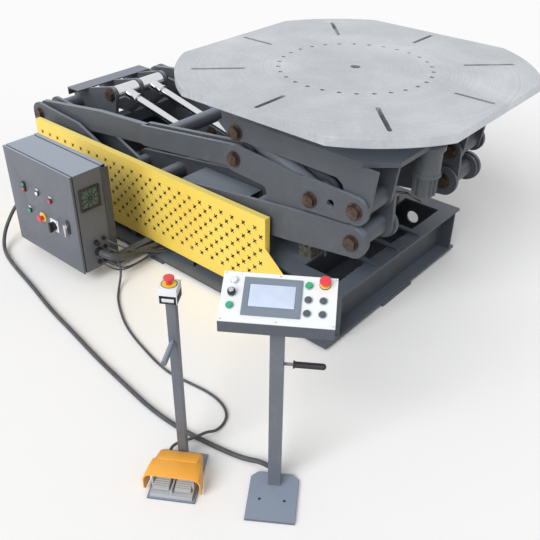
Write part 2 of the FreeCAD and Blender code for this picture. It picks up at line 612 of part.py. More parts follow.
def lift_barrels():
    out = []
    for y in (-CYL_PITCH / 2, CYL_PITCH / 2):
        tube = along(KPIN, SPIN, 800.0, LIFT_LEN - 800.0 - 66.0, 50.0, y)
        hole = along(KPIN, SPIN, 799.0, LIFT_LEN - 799.0 - 96.0, 36.0, y)
        gland = along(KPIN, SPIN, 780.0, 40.0, 54.0, y).cut(along(KPIN, SPIN, 779.0, 50.0, 32.0, y))
        cap = along(KPIN, SPIN, LIFT_LEN - 96.0, 60.0, 50.0, y)
        eye = cyl_y(SPIN[0], SPIN[1], 44.0, y - 80.0, y + 80.0)
        s = fuse([tube.cut(hole), gland, cap, eye])
        out.append(bore(s, SPIN, BORE))
    return Part.makeCompound(out)


TILT_LEN = math.hypot(B1[0] - B3[0], B1[1] - B3[1])
TILT_Y = (LV_E[1] + LV_B[0]) / 2.0
TILT_ROD_R = 19.0
TILT_BORE_R = 39.5
TILT_TUBE_R = 43.5


def tilt_rods():
    side = [cyl_y(B1[0], B1[1], 40.0, TILT_Y - 40.0, TILT_Y + 40.0),
            along(B1, B3, 20.0, 410.0, TILT_ROD_R, TILT_Y), along(B1, B3, 34.0, 22.0, 26.0, TILT_Y)]
    return Part.makeCompound(both([bore(fuse(side), B1, BORE)]))


def tilt_barrels():
    ln = TILT_LEN
    tube = along(B3, B1, 30.0, ln - 30.0 - 82.0, TILT_TUBE_R, TILT_Y)
    hole = along(B3, B1, 62.0, ln, TILT_BORE_R, TILT_Y)
    eye = cyl_y(B3[0], B3[1], 46.0, TILT_Y - 40.0, TILT_Y + 40.0)
    side = bore(fuse([tube.cut(hole), eye]), B3, BORE)
    return Part.makeCompound(both([side]))


nodes["lift_rods"] = lift_rods()
nodes["lift_barrels"] = lift_barrels()
nodes["tilt_rods"] = tilt_rods()
nodes["tilt_barrels"] = tilt_barrels()


# ---------------------------------------------------------------- guard, cover and hydraulics
def guard():
    y0 = GUARD_Y
    parts = [box(GUARD_X0, GUARD_X1, y0, y0 + GUARD_T, GUARD_Z0, GUARD_Z1),
             box(GUARD_X0, GUARD_X1, y0, y0 + GUARD_LIP, GUARD_Z1 - GUARD_T, GUARD_Z1),
             box(GUARD_X1 - GUARD_T, GUARD_X1, y0, y0 + GUARD_LIP, GUARD_Z0 + 220.0, GUARD_Z1),
             box(GUARD_X0, GUARD_X0 + GUARD_T, y0, y0 + GUARD_LIP, GUARD_Z0 + 220.0, GUARD_Z1)]
    parts.append(plate_xz([(GUARD_X1, 392.0), (85.0, 280.0), (150.0, GUARD_Z0), (GUARD_X1, GUARD_Z0)],
                          y0, y0 + GUARD_T))
    return fuse(parts)


def pump_cover():
    x0, x1, ya, yb = -790.0, -352.0, -528.0, -318.0
    z0, z1, t = DECK_TOP, 500.0, 3.0
    return fuse([box(x0, x1, ya, yb, z1 - t, z1), box(x0, x1, ya, ya + t, z0, z1), box(x0, x1, yb - t, yb, z0, z1),
                 box(x0, x0 + t, ya, yb, z0, z1), box(x0, x1, ya, ya + 25.0, z0, z0 + t),
                 box(x0, x1, yb - 25.0, yb, z0, z0 + t)])


def hydraulics():
    """Power unit under the cover and the valve block beside it."""
    tank = box(-770.0, -520.0, -495.0, -350.0, DECK_TOP, 400.0)
    motor = cyl_x(-422.0, 350.0, 46.0, -520.0, -400.0)
    lid = cyl_z(-700.0, -422.0, 26.0, 400.0, 415.0)
    unit = fuse([tank, motor, lid])
    block = box(22.0, 104.0, -440.0, -366.0, DECK_TOP, 352.0)
    coils = [cyl_z(45.0, -420.0, 15.0, 352.0, 385.0), cyl_z(82.0, -420.0, 15.0, 352.0, 385.0)]
    valve = fuse([block] + coils)
    far_block = box(30.0, 100.0, 372.0, 440.0, DECK_TOP, 334.0)
    return Part.makeCompound([unit, valve, far_block] + hydraulic_hoses())


def pipe(points, r, bend):
    """Round tube along straight runs joined by arcs that touch them."""
    pts = [V(*p) for p in points]
    edges = []
    start = pts[0]
    radii = []
    for i in range(1, len(pts) - 1):
        a, b, c = pts[i - 1], pts[i], pts[i + 1]
        u = (a - b)
        w = (c - b)
        lu, lw = u.Length, w.Length
        u.normalize()
        w.normalize()
        turn = math.pi - u.getAngle(w)
        if turn < 1e-3:
            continue
        rad = 0.45 * min(lu, lw) / math.tan(turn / 2) if bend is None else min(
            bend, 0.45 * min(lu, lw) / math.tan(turn / 2))
        cut = rad * math.tan(turn / 2)
        p, q = b + u * cut, b + w * cut
        bis = (u + w)
        bis.normalize()
        mid = b + bis * (math.hypot(rad, cut) - rad)
        if (p - start).Length > 1e-6:
            edges.append(Part.makeLine(start, p))
        edges.append(Part.Arc(p, mid, q).toShape())
        start = q
        radii.append(round(rad))
    edges.append(Part.makeLine(start, pts[-1]))
    wire = Part.Wire(edges)
    d = edges[0].tangentAt(edges[0].FirstParameter)
    profile = Part.Wire([Part.makeCircle(r, edges[0].valueAt(edges[0].FirstParameter), d)])
    return wire.makePipeShell([profile], True, True), radii


def hydraulic_hoses():
    runs = [([(30.0, -380.0, 330.0), (-40.0, -372.0, 330.0), (-160.0, -360.0, 312.0), (-330.0, -360.0, 330.0),
              (-400.0, -362.0, 340.0)], 9.0),
            ([(64.0, -372.0, 352.0), (64.0, -372.0, 395.0), (150.0, -372.0, 395.0), (150.0, -372.0, 300.0)], 8.0),
            ([(65.0, 406.0, 334.0), (65.0, 406.0, 380.0), (40.0, 340.0, 380.0), (40.0, 330.0, 305.0)], 8.0),
            ([(88.0, 400.0, 334.0), (88.0, 400.0, 362.0), (150.0, 440.0, 362.0), (240.0, 470.0, 320.0)], 8.0)]
    out = []
    for pts, r in runs:
        s, _ = pipe(pts, r, 30.0)
        out.append(s)
    return out


nodes["guard"] = guard()
nodes["pump_cover"] = pump_cover()
nodes["hydraulics"] = hydraulics()


# ---------------------------------------------------------------- control cabinet
DOOR_PIN = (CAB_X0 - 7.0, CAB_FRONT - DOOR_GAP / 2)
DOOR_PIN_R = 3.0
KNUCKLE_R = 6.0
KNUCKLE_H = 30.0
KNUCKLE_Z = (170.0, 592.0)


def door_knuckle(z, side):
    """Hinge knuckle and leaf at the height z: side 1 is the door's, above; side -1 the cabinet's, with the pin."""
    x, y = DOOR_PIN
    z0, z1 = (z, z + KNUCKLE_H) if side > 0 else (z - KNUCKLE_H - 0.5, z - 0.5)
    y0, y1 = sorted((y - side * (DOOR_GAP / 2 + 1.0), y - side * KNUCKLE_R))
    s = fuse([cyl_z(x, y, KNUCKLE_R, z0, z1), box(x, CAB_X0 + 1.0, y0, y1, z0, z1)])
    if side > 0:
        return s.cut(cyl_z(x, y, DOOR_PIN_R + PIN_CLEAR, z0 - 1.0, z1 + 1.0))
    return fuse([s, cyl_z(x, y, DOOR_PIN_R, z0, z + KNUCKLE_H)])


def cabinet_body():
    t = 2.0
    o = box(CAB_X0, CAB_X1, CAB_FRONT, CAB_BACK, CAB_Z0, CAB_Z1)
    i = box(CAB_X0 + t, CAB_X1 - t, CAB_FRONT - 1, CAB_BACK - t, CAB_Z0 + t, CAB_Z1 - t)
    # return flange round the door opening
    ring = box(CAB_X0, CAB_X1, CAB_FRONT, CAB_FRONT + t, CAB_Z0, CAB_Z1).cut(
        box(CAB_X0 + 22.0, CAB_X1 - 22.0, CAB_FRONT - 1, CAB_FRONT + 5, CAB_Z0 + 22.0, CAB_Z1 - 22.0))
    # mounting plate inside with a few devices
    panel = box(CAB_X0 + 40.0, CAB_X1 - 40.0, CAB_BACK - 22.0, CAB_BACK - 19.0, CAB_Z0 + 40.0, CAB_Z1 - 40.0)
    feet = [box(x, x + 20.0, CAB_BACK - 19.0, CAB_BACK - t, z, z + 20.0)
            for x in (CAB_X0 + 60.0, CAB_X1 - 80.0) for z in (CAB_Z0 + 60.0, CAB_Z1 - 80.0)]
    devices = [box(CAB_X0 + 70.0, CAB_X0 + 250.0, CAB_BACK - 110.0, CAB_BACK - 22.0, 440.0, 600.0),
               box(CAB_X0 + 290.0, CAB_X1 - 80.0, CAB_BACK - 80.0, CAB_BACK - 22.0, 470.0, 560.0),
               box(CAB_X0 + 70.0, CAB_X1 - 80.0, CAB_BACK - 70.0, CAB_BACK - 22.0, 250.0, 340.0)]
    shell = fuse([o.cut(i), ring] + feet + [door_knuckle(z, -1) for z in KNUCKLE_Z])
    # fan opening in the side
    shell = shell.cut(box(CAB_X1 - 5.0, CAB_X1 + 5.0, FAN_Y - 40.0, FAN_Y + 40.0, FAN_Z - 40.0, FAN_Z + 40.0))
    return Part.makeCompound([shell, fuse([panel] + devices)])


FAN_Y, FAN_Z = -1044.0, 525.0


def fan_grille():
    x = CAB_X1
    frame = box(x, x + 9.0, FAN_Y - 66.0, FAN_Y + 66.0, FAN_Z - 66.0, FAN_Z + 66.0)
    frame = frame.cut(cyl_x(FAN_Y, FAN_Z, 56.0, x - 1, x + 20))
    parts = [frame, cyl_x(FAN_Y, FAN_Z, 12.0, x, x + 9.0)]
    for r in (24.0, 36.0, 48.0):
        parts.append(cyl_x(FAN_Y, FAN_Z, r + 1.5, x + 3.0, x + 7.0).cut(cyl_x(FAN_Y, FAN_Z, r - 1.5, x, x + 20)))
    for k in range(8):
        bar = box(x + 3.0, x + 7.0, FAN_Y - 1.5, FAN_Y + 1.5, FAN_Z, FAN_Z + 57.0)
        bar.rotate(V(x, FAN_Y, FAN_Z), V(1, 0, 0), 45.0 * k + 10.0)
        parts.append(bar)
    return fuse(parts)


DOOR_Y1 = CAB_FRONT - DOOR_GAP
DOOR_Y0 = DOOR_Y1 - DOOR_T
BTN_R = 14.5


def door_xz(across, down):
    """Place on the door, measured from its upper hinge corner."""
    return CAB_X0 + across, CAB_Z1 - down


DOOR_AT = {"dual": door_xz(150.0, 207.0), "white": door_xz(280.0, 206.0), "red": door_xz(402.0, 212.0),
           "green": door_xz(171.0, 352.0), "estop": door_xz(291.0, 356.0), "main": door_xz(405.0, 365.0),
           "lock": door_xz(528.0, 320.0)}


def cabinet_door():
    t = 2.0
    o = box(CAB_X0, CAB_X1, DOOR_Y0, DOOR_Y1, CAB_Z0, CAB_Z1)
    i = box(CAB_X0 + t, CAB_X1 - t, DOOR_Y0 + t, DOOR_Y1 + 1, CAB_Z0 + t, CAB_Z1 - t)
    s = fuse([o.cut(i)] + [door_knuckle(z, 1) for z in KNUCKLE_Z])
    for key, r in (("white", 11.3), ("red", 11.3), ("green", 11.3), ("estop", 10.8), ("main", 6.0), ("lock", 9.0)):
        x, z = DOOR_AT[key]
        s = s.cut(cyl_y(x, z, r, DOOR_Y0 - 5, DOOR_Y1 + 5))
    x, z = DOOR_AT["dual"]
    for dz in (14.0, -14.0):
        s = s.cut(cyl_y(x, z + dz, 9.3, DOOR_Y0 - 5, DOOR_Y1 + 5))
    return s


def bezel(x, z, r_out, r_in, h):
    return cyl_y(x, z, r_out, DOOR_Y0 - h, DOOR_Y0).cut(cyl_y(x, z, r_in, DOOR_Y0 - h - 1, DOOR_Y0 + 1))


def door_fittings():
    parts = []
    for key in ("white", "red", "green"):
        x, z = DOOR_AT[key]
        parts.append(bezel(x, z, BTN_R, 11.5, 7.0))
        parts.append(box(x - 14.0, x + 14.0, DOOR_Y0 - 2.0, DOOR_Y0, z + 15.0, z + 30.0))
    x, z = DOOR_AT["estop"]
    parts.append(bezel(x, z, 30.0, 12.0, 2.0))
    x, z = DOOR_AT["dual"]
    d = box(x - 15.0, x + 15.0, DOOR_Y0 - 8.0, DOOR_Y0, z - 30.0, z + 30.0)
    for dz in (14.0, -14.0):
        d = d.cut(cyl_y(x, z + dz, 9.3, DOOR_Y0 - 10, DOOR_Y0 + 1))
    parts.append(d)
    x, z = DOOR_AT["main"]
    parts.append(box(x - 36.0, x + 36.0, DOOR_Y0 - 6.0, DOOR_Y0, z - 36.0, z + 36.0).cut(
        cyl_y(x, z, 7.0, DOOR_Y0 - 10, DOOR_Y0 + 1)))
    return Part.makeCompound(parts)


def button(key, r=11.0, h=12.0, dz=0.0, stem=10.8):
    x, z = DOOR_AT[key]
    z += dz
    cap = cyl_y(x, z, r, DOOR_Y0 - h, DOOR_Y0 - 1.0)
    tail = cyl_y(x, z, stem, DOOR_Y0 - 1.0, DOOR_Y0 + 12.0)
    return fuse([cap, tail])


def mushroom(r_head, r_neck, h_neck, h_head):
    """Push-off head on its neck, pointing up from the origin."""
    neck = Part.makeCylinder(r_neck, h_neck + 2.0, V(0, 0, 0), V(0, 0, 1))
    cone = Part.makeCone(r_head * 0.72, r_head, h_head * 0.6, V(0, 0, h_neck), V(0, 0, 1))
    top = Part.makeCylinder(r_head, h_head * 0.4, V(0, 0, h_neck + h_head * 0.6), V(0, 0, 1))
    return fuse([neck, cone, top])


def door_estop():
    x, z = DOOR_AT["estop"]
    m = mushroom(20.0, 10.5, 12.0, 16.0)
    m.rotate(V(0, 0, 0), V(1, 0, 0), 90.0)
    m.translate(V(x, DOOR_Y0, z))
    tail = cyl_y(x, z, 10.5, DOOR_Y0, DOOR_Y0 + 14.0)
    return fuse([m, tail])


def main_switch():
    x, z = DOOR_AT["main"]
    disc = cyl_y(x, z, 26.0, DOOR_Y0 - 22.0, DOOR_Y0 - 6.5)
    grip = box(x - 8.0, x + 8.0, DOOR_Y0 - 40.0, DOOR_Y0 - 22.0, z - 30.0, z + 26.0)
    shaft = cyl_y(x, z, 5.95, DOOR_Y0 - 7.0, DOOR_Y0 + 12.0)
    return fuse([disc, grip, shaft])


def door_handle():
    x, z = DOOR_AT["lock"]
    boss = cyl_y(x, z, 14.0, DOOR_Y0 - 14.0, DOOR_Y0 - 0.5)
    lever = box(x - 7.0, x + 7.0, DOOR_Y0 - 24.0, DOOR_Y0 - 14.0, z - 62.0, z + 12.0)
    stem = cyl_y(x, z, 8.95, DOOR_Y0 - 0.5, DOOR_Y0 + 14.0)
    cam = box(x - 6.0, x + 30.0, DOOR_Y0 + 11.0, DOOR_Y0 + 14.0, z - 6.0, z + 6.0)
    return fuse([boss, lever, stem, cam])


nodes["cabinet_body"] = cabinet_body()
nodes["fan_grille"] = fan_grille()
nodes["cabinet_door"] = cabinet_door()
nodes["door_fittings"] = door_fittings()
nodes["button_white"] = button("white")
nodes["button_red"] = button("red", h=14.0)
nodes["button_green"] = button("green")
nodes["dual_on"] = button("dual", r=9.0, h=11.0, dz=14.0, stem=8.9)
nodes["dual_off"] = button("dual", r=9.0, h=13.0, dz=-14.0, stem=8.9)
nodes["door_estop"] = door_estop()
nodes["main_switch"] = main_switch()
nodes["door_handle"] = door_handle()


# ---------------------------------------------------------------- pendant stand
def to_stand(shape, z=0.0):
    return place(shape, STAND_AT, STAND_TURN, z)


FOOT_T = 12.0


def pendant_stand():
    w, d0, d1 = 99.0, -196.0, 16.0 + POST / 2
    c = 28.0
    foot = plate_xy([(-w, d0), (w, d0), (w, d1 - c), (w - c, d1), (-w + c, d1), (-w, d1 - c)], 0.0, FOOT_T)
    for x in (-STAND_HOLE_X, STAND_HOLE_X):
        foot = foot.cut(cyl_z(x, STAND_HOLE_Y, STAND_HOLE_R, -5.0, 30.0))
    h = POST / 2
    tube = box(-h, h, -h, h, FOOT_T, CONSOLE_Z + 10.0).cut(box(-h + 3, h - 3, -h + 3, h - 3, FOOT_T + 3, 2000.0))
    rod = Part.makeCylinder(6.0, 46.0, V(h - 1.0, 0, 648.0), V(1, 0, 0))
    plate = box(-60.0, 60.0, -60.0, 60.0, CONSOLE_Z - 5.0, CONSOLE_Z).cut(box(-h, h, -h, h, 800.0, 900.0))
    # cable outlet at the foot of the post
    way = V(*CORD_ENTRY) - V(*CORD_FROM)
    way.normalize()
    hole = Part.makeCylinder(PENDANT_CABLE_R + CORD_PLAY, 41.0, V(*CORD_ENTRY) - way * 41.0, way)
    return to_stand(fuse([foot, tube, rod, plate]).cut(hole))


def pendant_grip():
    x0 = POST / 2 + 45.0
    body = Part.makeCylinder(12.0, 108.0, V(x0 - 12.0, 0, 648.0), V(1, 0, 0))
    end = Part.makeSphere(12.0, V(x0 + 96.0, 0, 648.0))
    collar = Part.makeCylinder(15.0, 6.0, V(x0 - 12.0, 0, 648.0), V(1, 0, 0))
    s = fuse([body, end, collar])
    bore_ = Part.makeCylinder(6.05, 13.0, V(x0 - 12.0, 0, 648.0), V(1, 0, 0))
    return to_stand(s.cut(bore_))


TILT = math.radians(CONSOLE_TILT)
CON_RUN = CONSOLE_D * math.cos(TILT)
CON_RISE = CONSOLE_D * math.sin(TILT)
CON_Y0 = -CON_RUN / 2.0


def console_box():
    w = CONSOLE_W / 2
    pts = [(CON_Y0, CONSOLE_Z), (CON_Y0, CONSOLE_Z + CONSOLE_FRONT_H),
           (CON_Y0 + CON_RUN, CONSOLE_Z + CONSOLE_FRONT_H + CON_RISE), (CON_Y0 + CON_RUN, CONSOLE_Z)]
    face = Part.Face(Part.makePolygon([V(-w, y, z) for y, z in pts + [pts[0]]]))
    solid = face.extrude(V(CONSOLE_W, 0, 0))
    t = 2.0
    inn = [(CON_Y0 + t, CONSOLE_Z + t), (CON_Y0 + t, CONSOLE_Z + CONSOLE_FRONT_H + 5.0),
           (CON_Y0 + CON_RUN - t, CONSOLE_Z + CONSOLE_FRONT_H + CON_RISE + 5.0), (CON_Y0 + CON_RUN - t, CONSOLE_Z + t)]
    hollow = Part.Face(Part.makePolygon([V(-w + t, y, z) for y, z in inn + [inn[0]]])).extrude(
        V(CONSOLE_W - 2 * t, 0, 0))
    h = POST / 2
    s = solid.cut(hollow).cut(box(-h - 0.2, h + 0.2, -h - 0.2, h + 0.2, CONSOLE_Z - 5.0, CONSOLE_Z + 20.0))
    # seat flange for the panel
    rim = box(-w, w, 0.0, CONSOLE_D, -2.0, 0.0).cut(box(-w + 14, w - 14, 14.0, CONSOLE_D - 14.0, -5.0, 5.0))
    return to_stand(fuse([s, on_panel(rim)]))


def on_panel(shape):
    """Panel coordinates (across, up the slope from its lower edge, out) to stand coordinates."""
    s = shape.copy()
    s.rotate(V(0, 0, 0), V(1, 0, 0), CONSOLE_TILT)
    s.translate(V(0, CON_Y0, CONSOLE_Z + CONSOLE_FRONT_H))
    return s


PANEL_T = 3.0
HMI_C = (-22.0, 100.0)
HMI_W, HMI_H = 200.0, 146.0
CON_BTN = {"lamp": (-158.0, 158.0), "knob": (-161.0, 108.0), "green_low": (-163.0, 60.0), "green": (100.0, 156.0),
           "estop": (154.0, 166.0), "d1": (101.0, 101.0), "d2": (152.0, 101.0), "d3": (100.0, 49.0), "d4": (152.0, 49.0)}


def pcyl(u, v, r, w0, w1):
    return Part.makeCylinder(r, w1 - w0, V(u, v, w0), V(0, 0, 1))


def console_panel():
    w = CONSOLE_W / 2
    s = box(-w, w, 0.0, CONSOLE_D, 0.0, PANEL_T)
    for u, v in CON_BTN.values():
        s = s.cut(pcyl(u, v, 11.2, -5.0, 10.0))
    s = s.cut(box(HMI_C[0] - 92, HMI_C[0] + 92, HMI_C[1] - 66, HMI_C[1] + 66, -5.0, 10.0))
    return to_stand(on_panel(s))


def hmi():
    u, v = HMI_C
    frame = box(u - HMI_W / 2, u + HMI_W / 2, v - HMI_H / 2, v + HMI_H / 2, PANEL_T, PANEL_T + 8.0)
    frame = frame.cut(box(u - 80, u + 80, v - 42, v + 48, PANEL_T + 6.0, PANEL_T + 20.0))
    back = box(u - 91.5, u + 91.5, v - 65.5, v + 65.5, -28.0, PANEL_T)
    return to_stand(on_panel(fuse([frame, back])))


def console_fittings():
    parts = []
    for key, (u, v) in CON_BTN.items():
        if key == "lamp":
            parts.append(fuse([pcyl(u, v, 14.5, PANEL_T, PANEL_T + 6.0), pcyl(u, v, 12.0, PANEL_T + 6.0, PANEL_T + 14.0),
                               pcyl(u, v, 10.8, -25.0, PANEL_T)]))
        elif key == "estop":
            parts.append(pcyl(u, v, 19.0, PANEL_T, PANEL_T + 9.0).cut(pcyl(u, v, 10.9, 0.0, 30.0)))
        else:
            parts.append(pcyl(u, v, 14.5, PANEL_T, PANEL_T + 6.0).cut(pcyl(u, v, 11.2, 0.0, 30.0)))
    w = CONSOLE_W / 2 - 8.0
    for u, v in ((-w, 8.0), (w, 8.0), (-w, CONSOLE_D - 8.0), (w, CONSOLE_D - 8.0), (0.0, 8.0), (0.0, CONSOLE_D - 8.0)):
        parts.append(pcyl(u, v, 4.0, PANEL_T, PANEL_T + 2.5))
    return to_stand(on_panel(Part.makeCompound(parts)))


def con_button(key, r=10.9, h=10.0):
    u, v = CON_BTN[key]
    return to_stand(on_panel(fuse([pcyl(u, v, r, PANEL_T + 1.0, PANEL_T + h), pcyl(u, v, 10.7, -12.0, PANEL_T + 1.0)])))


def con_knob():
    u, v = CON_BTN["knob"]
    parts = [pcyl(u, v, 13.0, PANEL_T + 6.3, PANEL_T + 22.0), pcyl(u, v, 9.0, PANEL_T + 22.0, PANEL_T + 26.0),
             pcyl(u, v, 5.0, -12.0, PANEL_T + 6.3)]
    for k in range(10):
        rib = box(12.0, 14.5, -1.5, 1.5, PANEL_T + 7.0, PANEL_T + 18.0)
        parts.append(place(rib, (u, v), 36.0 * k))
    return to_stand(on_panel(fuse(parts)))


def con_estop():
    u, v = CON_BTN["estop"]
    m = mushroom(20.0, 10.5, 14.0, 15.0)
    m.translate(V(u, v, PANEL_T))
    return to_stand(on_panel(fuse([m, pcyl(u, v, 10.5, -12.0, PANEL_T)])))


nodes["pendant_stand"] = pendant_stand()
nodes["pendant_grip"] = pendant_grip()
nodes["console_box"] = console_box()
nodes["console_panel"] = console_panel()
nodes["hmi"] = hmi()
nodes["console_fittings"] = console_fittings()
nodes["console_knob"] = con_knob()
nodes["console_green_a"] = con_button("green", h=14.0)
nodes["console_green_b"] = con_button("green_low", h=12.0)
for n, key in enumerate(("d1", "d2", "d3", "d4")):
    nodes["console_dark_%d" % (n + 1)] = con_button(key)
nodes["console_estop"] = con_estop()


# ---------------------------------------------------------------- pedal stand
def to_pedal(shape):
    return place(shape, PEDAL_AT, PEDAL_TURN)


PED_Y0 = -215.0             # front edge of the foot
PED_HALF = 86.0             # half width of the pedal housing
ESTOP_Z = 846.0
HANDLE_Z = 660.0
CORD_IN = (-60.0, 36.0)     # where the cord enters the housing, across and up


def pedal_stand():
    h = PEDAL_POST / 2
    foot = box(-98.0, 98.0, PED_Y0, 40.0, 0.0, 8.0)
    tube = box(-h, h, 8.0 - h, 8.0 + h, 8.0, ESTOP_Z)
    rod = Part.makeCylinder(5.0, 40.0, V(0, 9.0 - h, HANDLE_Z), V(0, -1, 0))
    grip = Part.makeCylinder(11.0, 114.0, V(0, -h - 8.0, HANDLE_Z), V(0, -1, 0))
    return to_pedal(fuse([foot, tube, rod, grip]))


def estop_box():
    lower = box(-34.0, 34.0, -34.0, 34.0, ESTOP_Z, ESTOP_Z + 36.0)
    upper = box(-34.0, 34.0, -34.0, 34.0, ESTOP_Z + 36.0, ESTOP_Z + 64.0)
    disc = cyl_z(0, 0, 30.0, ESTOP_Z + 64.0, ESTOP_Z + 66.0)
    s = fuse([lower, upper, disc])
    return to_pedal(s.cut(cyl_z(0, 0, 10.8, ESTOP_Z + 40.0, ESTOP_Z + 90.0)))


def stand_estop():
    m = mushroom(20.0, 10.5, 14.0, 16.0)
    m.translate(V(0, 0, ESTOP_Z + 66.0))
    return to_pedal(fuse([m, cyl_z(0, 0, 10.5, ESTOP_Z + 46.0, ESTOP_Z + 66.0)]))


HINGE_Y, HINGE_Z = -80.0, 60.0
HINGE_R = 4.0


def pedal_body():
    w = PED_HALF
    base = box(-w, w, PED_Y0 + 6.0, -30.0, 8.0, 26.0)
    back = box(6.0 - w, w - 6.0, -68.0, -30.0, 26.0, 66.0)
    rib = box(-3.0, 3.0, PED_Y0 + 16.0, -68.0, 26.0, 44.0)
    post = box(-3.0, 3.0, HINGE_Y - 10.0, -68.0, 26.0, 66.0)
    side = [box(a, a + 6.0, PED_Y0 + 44.0, -30.0, 26.0, 66.0) for a in (-w, w - 6.0)]
    rod = Part.makeCylinder(HINGE_R, 2 * w - 10.0, V(5.0 - w, HINGE_Y, HINGE_Z), V(1, 0, 0))
    return to_pedal(fuse([base, back, rib, post, rod] + side))


def one_pedal(side):
    """Ribbed treadle on a hinge rod at its rear edge, sloping down to the front."""
    x0, x1 = (12.0, PED_HALF - 9.0) if side > 0 else (9.0 - PED_HALF, -12.0)
    front = PED_Y0 + 24.0
    top0, top1 = HINGE_Z + 8.0, 42.0
    pts = [(HINGE_Y, HINGE_Z - 6.0), (HINGE_Y, top0), (front, top1), (front, top1 - 9.0)]
    face = Part.Face(Part.makePolygon([V(x0, y, z) for y, z in pts + [pts[0]]]))
    plate = face.extrude(V(x1 - x0, 0, 0))
    barrel = Part.makeCylinder(8.0, x1 - x0, V(x0, HINGE_Y, HINGE_Z), V(1, 0, 0))
    ribs = []
    for k in range(11):
        y = front + 7.0 + 9.0 * k
        z = top1 + (top0 - top1) * (y - front) / (HINGE_Y - front)
        ribs.append(box(x0 + 3.0, x1 - 3.0, y, y + 4.0, z - 3.0, z + 2.5))
    hole = Part.makeCylinder(HINGE_R + 0.08, x1 - x0 + 2.0, V(x0 - 1.0, HINGE_Y, HINGE_Z), V(1, 0, 0))
    return to_pedal(fuse([plate, barrel] + ribs).cut(hole))


# cross-sections of the hood from back to front: y, half width, top, corner
HOOD_BACK = ((-25.0, 92.0, 80.0, 14.0), (-96.0, 94.0, 106.0, 14.0))
HOOD_FRONT = ((-92.0, 108.0, 104.0, 24.0), (-140.0, 115.0, 109.0, 27.0), (-188.0, 118.0, 110.0, 28.0))
HOOD_T = 4.0


def pedal_hood():
    """Orange hood: a back over the switch housing, and wider flaps that hang beside the pedals."""
    def loft(rows, off, low, y_back, y_front):
        wires = []
        for n, (y, w, top, c) in enumerate(rows):
            y = y + y_back if n == 0 else (y + y_front if n == len(rows) - 1 else y)
            w, top = w - off, top - off
            pts = [(-w, low), (-w, top - c), (-w + 0.3 * c, top - 0.3 * c), (-w + c, top),
                   (w - c, top), (w - 0.3 * c, top - 0.3 * c), (w, top - c), (w, low)]
            wires.append(Part.makePolygon([V(a, y, b) for a, b in pts + [pts[0]]]))
        return Part.makeLoft(wires, True, True)

    t = HOOD_T
    back = loft(HOOD_BACK, 0.0, 8.0, 0.0, 0.0)
    inside = loft(HOOD_BACK, t, 4.0, -t, -5.0)
    front = loft(HOOD_FRONT, 0.0, 10.0, 0.0, 0.0).cut(loft(HOOD_FRONT, t, 4.0, -t, -5.0))
    # the flaps' rear edges slope forwards and their lower front corners are cut off
    y0, y1 = HOOD_FRONT[0][0], HOOD_FRONT[-1][0]
    for pts in ([(y0 + 2.0, 0.0), (y0 + 2.0, 84.0), (y0 - 6.0, 84.0), (y0 - 36.0, 12.0), (y0 - 40.0, 0.0)],
                [(y1 - 2.0, 0.0), (y1 - 2.0, 30.0), (y1, 30.0), (y1 + 14.0, 9.0), (y1 + 14.0, 0.0)]):
        wedge = Part.Face(Part.makePolygon([V(-200.0, y, z) for y, z in pts + [pts[0]]])).extrude(V(400.0, 0, 0))
        front = front.cut(wedge)
    s = fuse([back, front]).cut(inside)
    return to_pedal(s.cut(Part.makeCylinder(9.0, 30.0, V(CORD_IN[0], -40.0, CORD_IN[1]), V(0, 1, 0))))


nodes["pedal_stand"] = pedal_stand()
nodes["estop_box"] = estop_box()
nodes["stand_estop"] = stand_estop()
nodes["pedal_body"] = pedal_body()
nodes["pedal_left"] = one_pedal(-1)
nodes["pedal_right"] = one_pedal(1)
nodes["pedal_hood"] = pedal_hood()


# ---------------------------------------------------------------- cables
GLAND_L = 26.0
SIDE_GLANDS = {"spare": (-1047.0, 245.0, 13.0), "sensor": (-993.0, 252.0, 9.0), "metal": (-988.0, 195.0, 9.0),
               "conduit": (-1036.0, 182.0, 24.0), "low": (-1040.0, 115.0, 10.0), "low_rear": (-1002.0, 112.0, 9.0),
               "pedal": (-966.0, 128.0, 10.0)}
PENDANT_GLAND = (-1040.0, 262.0)
WEB_FACE = -(BASE_HALF - RAIL_W / 2 + 5.0) - LAY    # cables stop at the side beam


OVER_Z = 2 * (PENDANT_CABLE_R + LAY) + 3 * PEDAL_CABLE_R    # the pedal cable crosses over the pendant's


def cable_glands():
    out = []
    for y, z, r in SIDE_GLANDS.values():
        out.append(fuse([cyl_x(y, z, r + 3.0, CAB_X1, CAB_X1 + 8.0), cyl_x(y, z, r, CAB_X1 + 8.0, CAB_X1 + GLAND_L)]))
    y, z = PENDANT_GLAND
    out.append(fuse([cyl_x(y, z, 19.0, CAB_X0 - 9.0, CAB_X0), cyl_x(y, z, 15.0, CAB_X0 - GLAND_L, CAB_X0 - 9.0)]))
    return Part.makeCompound(out)


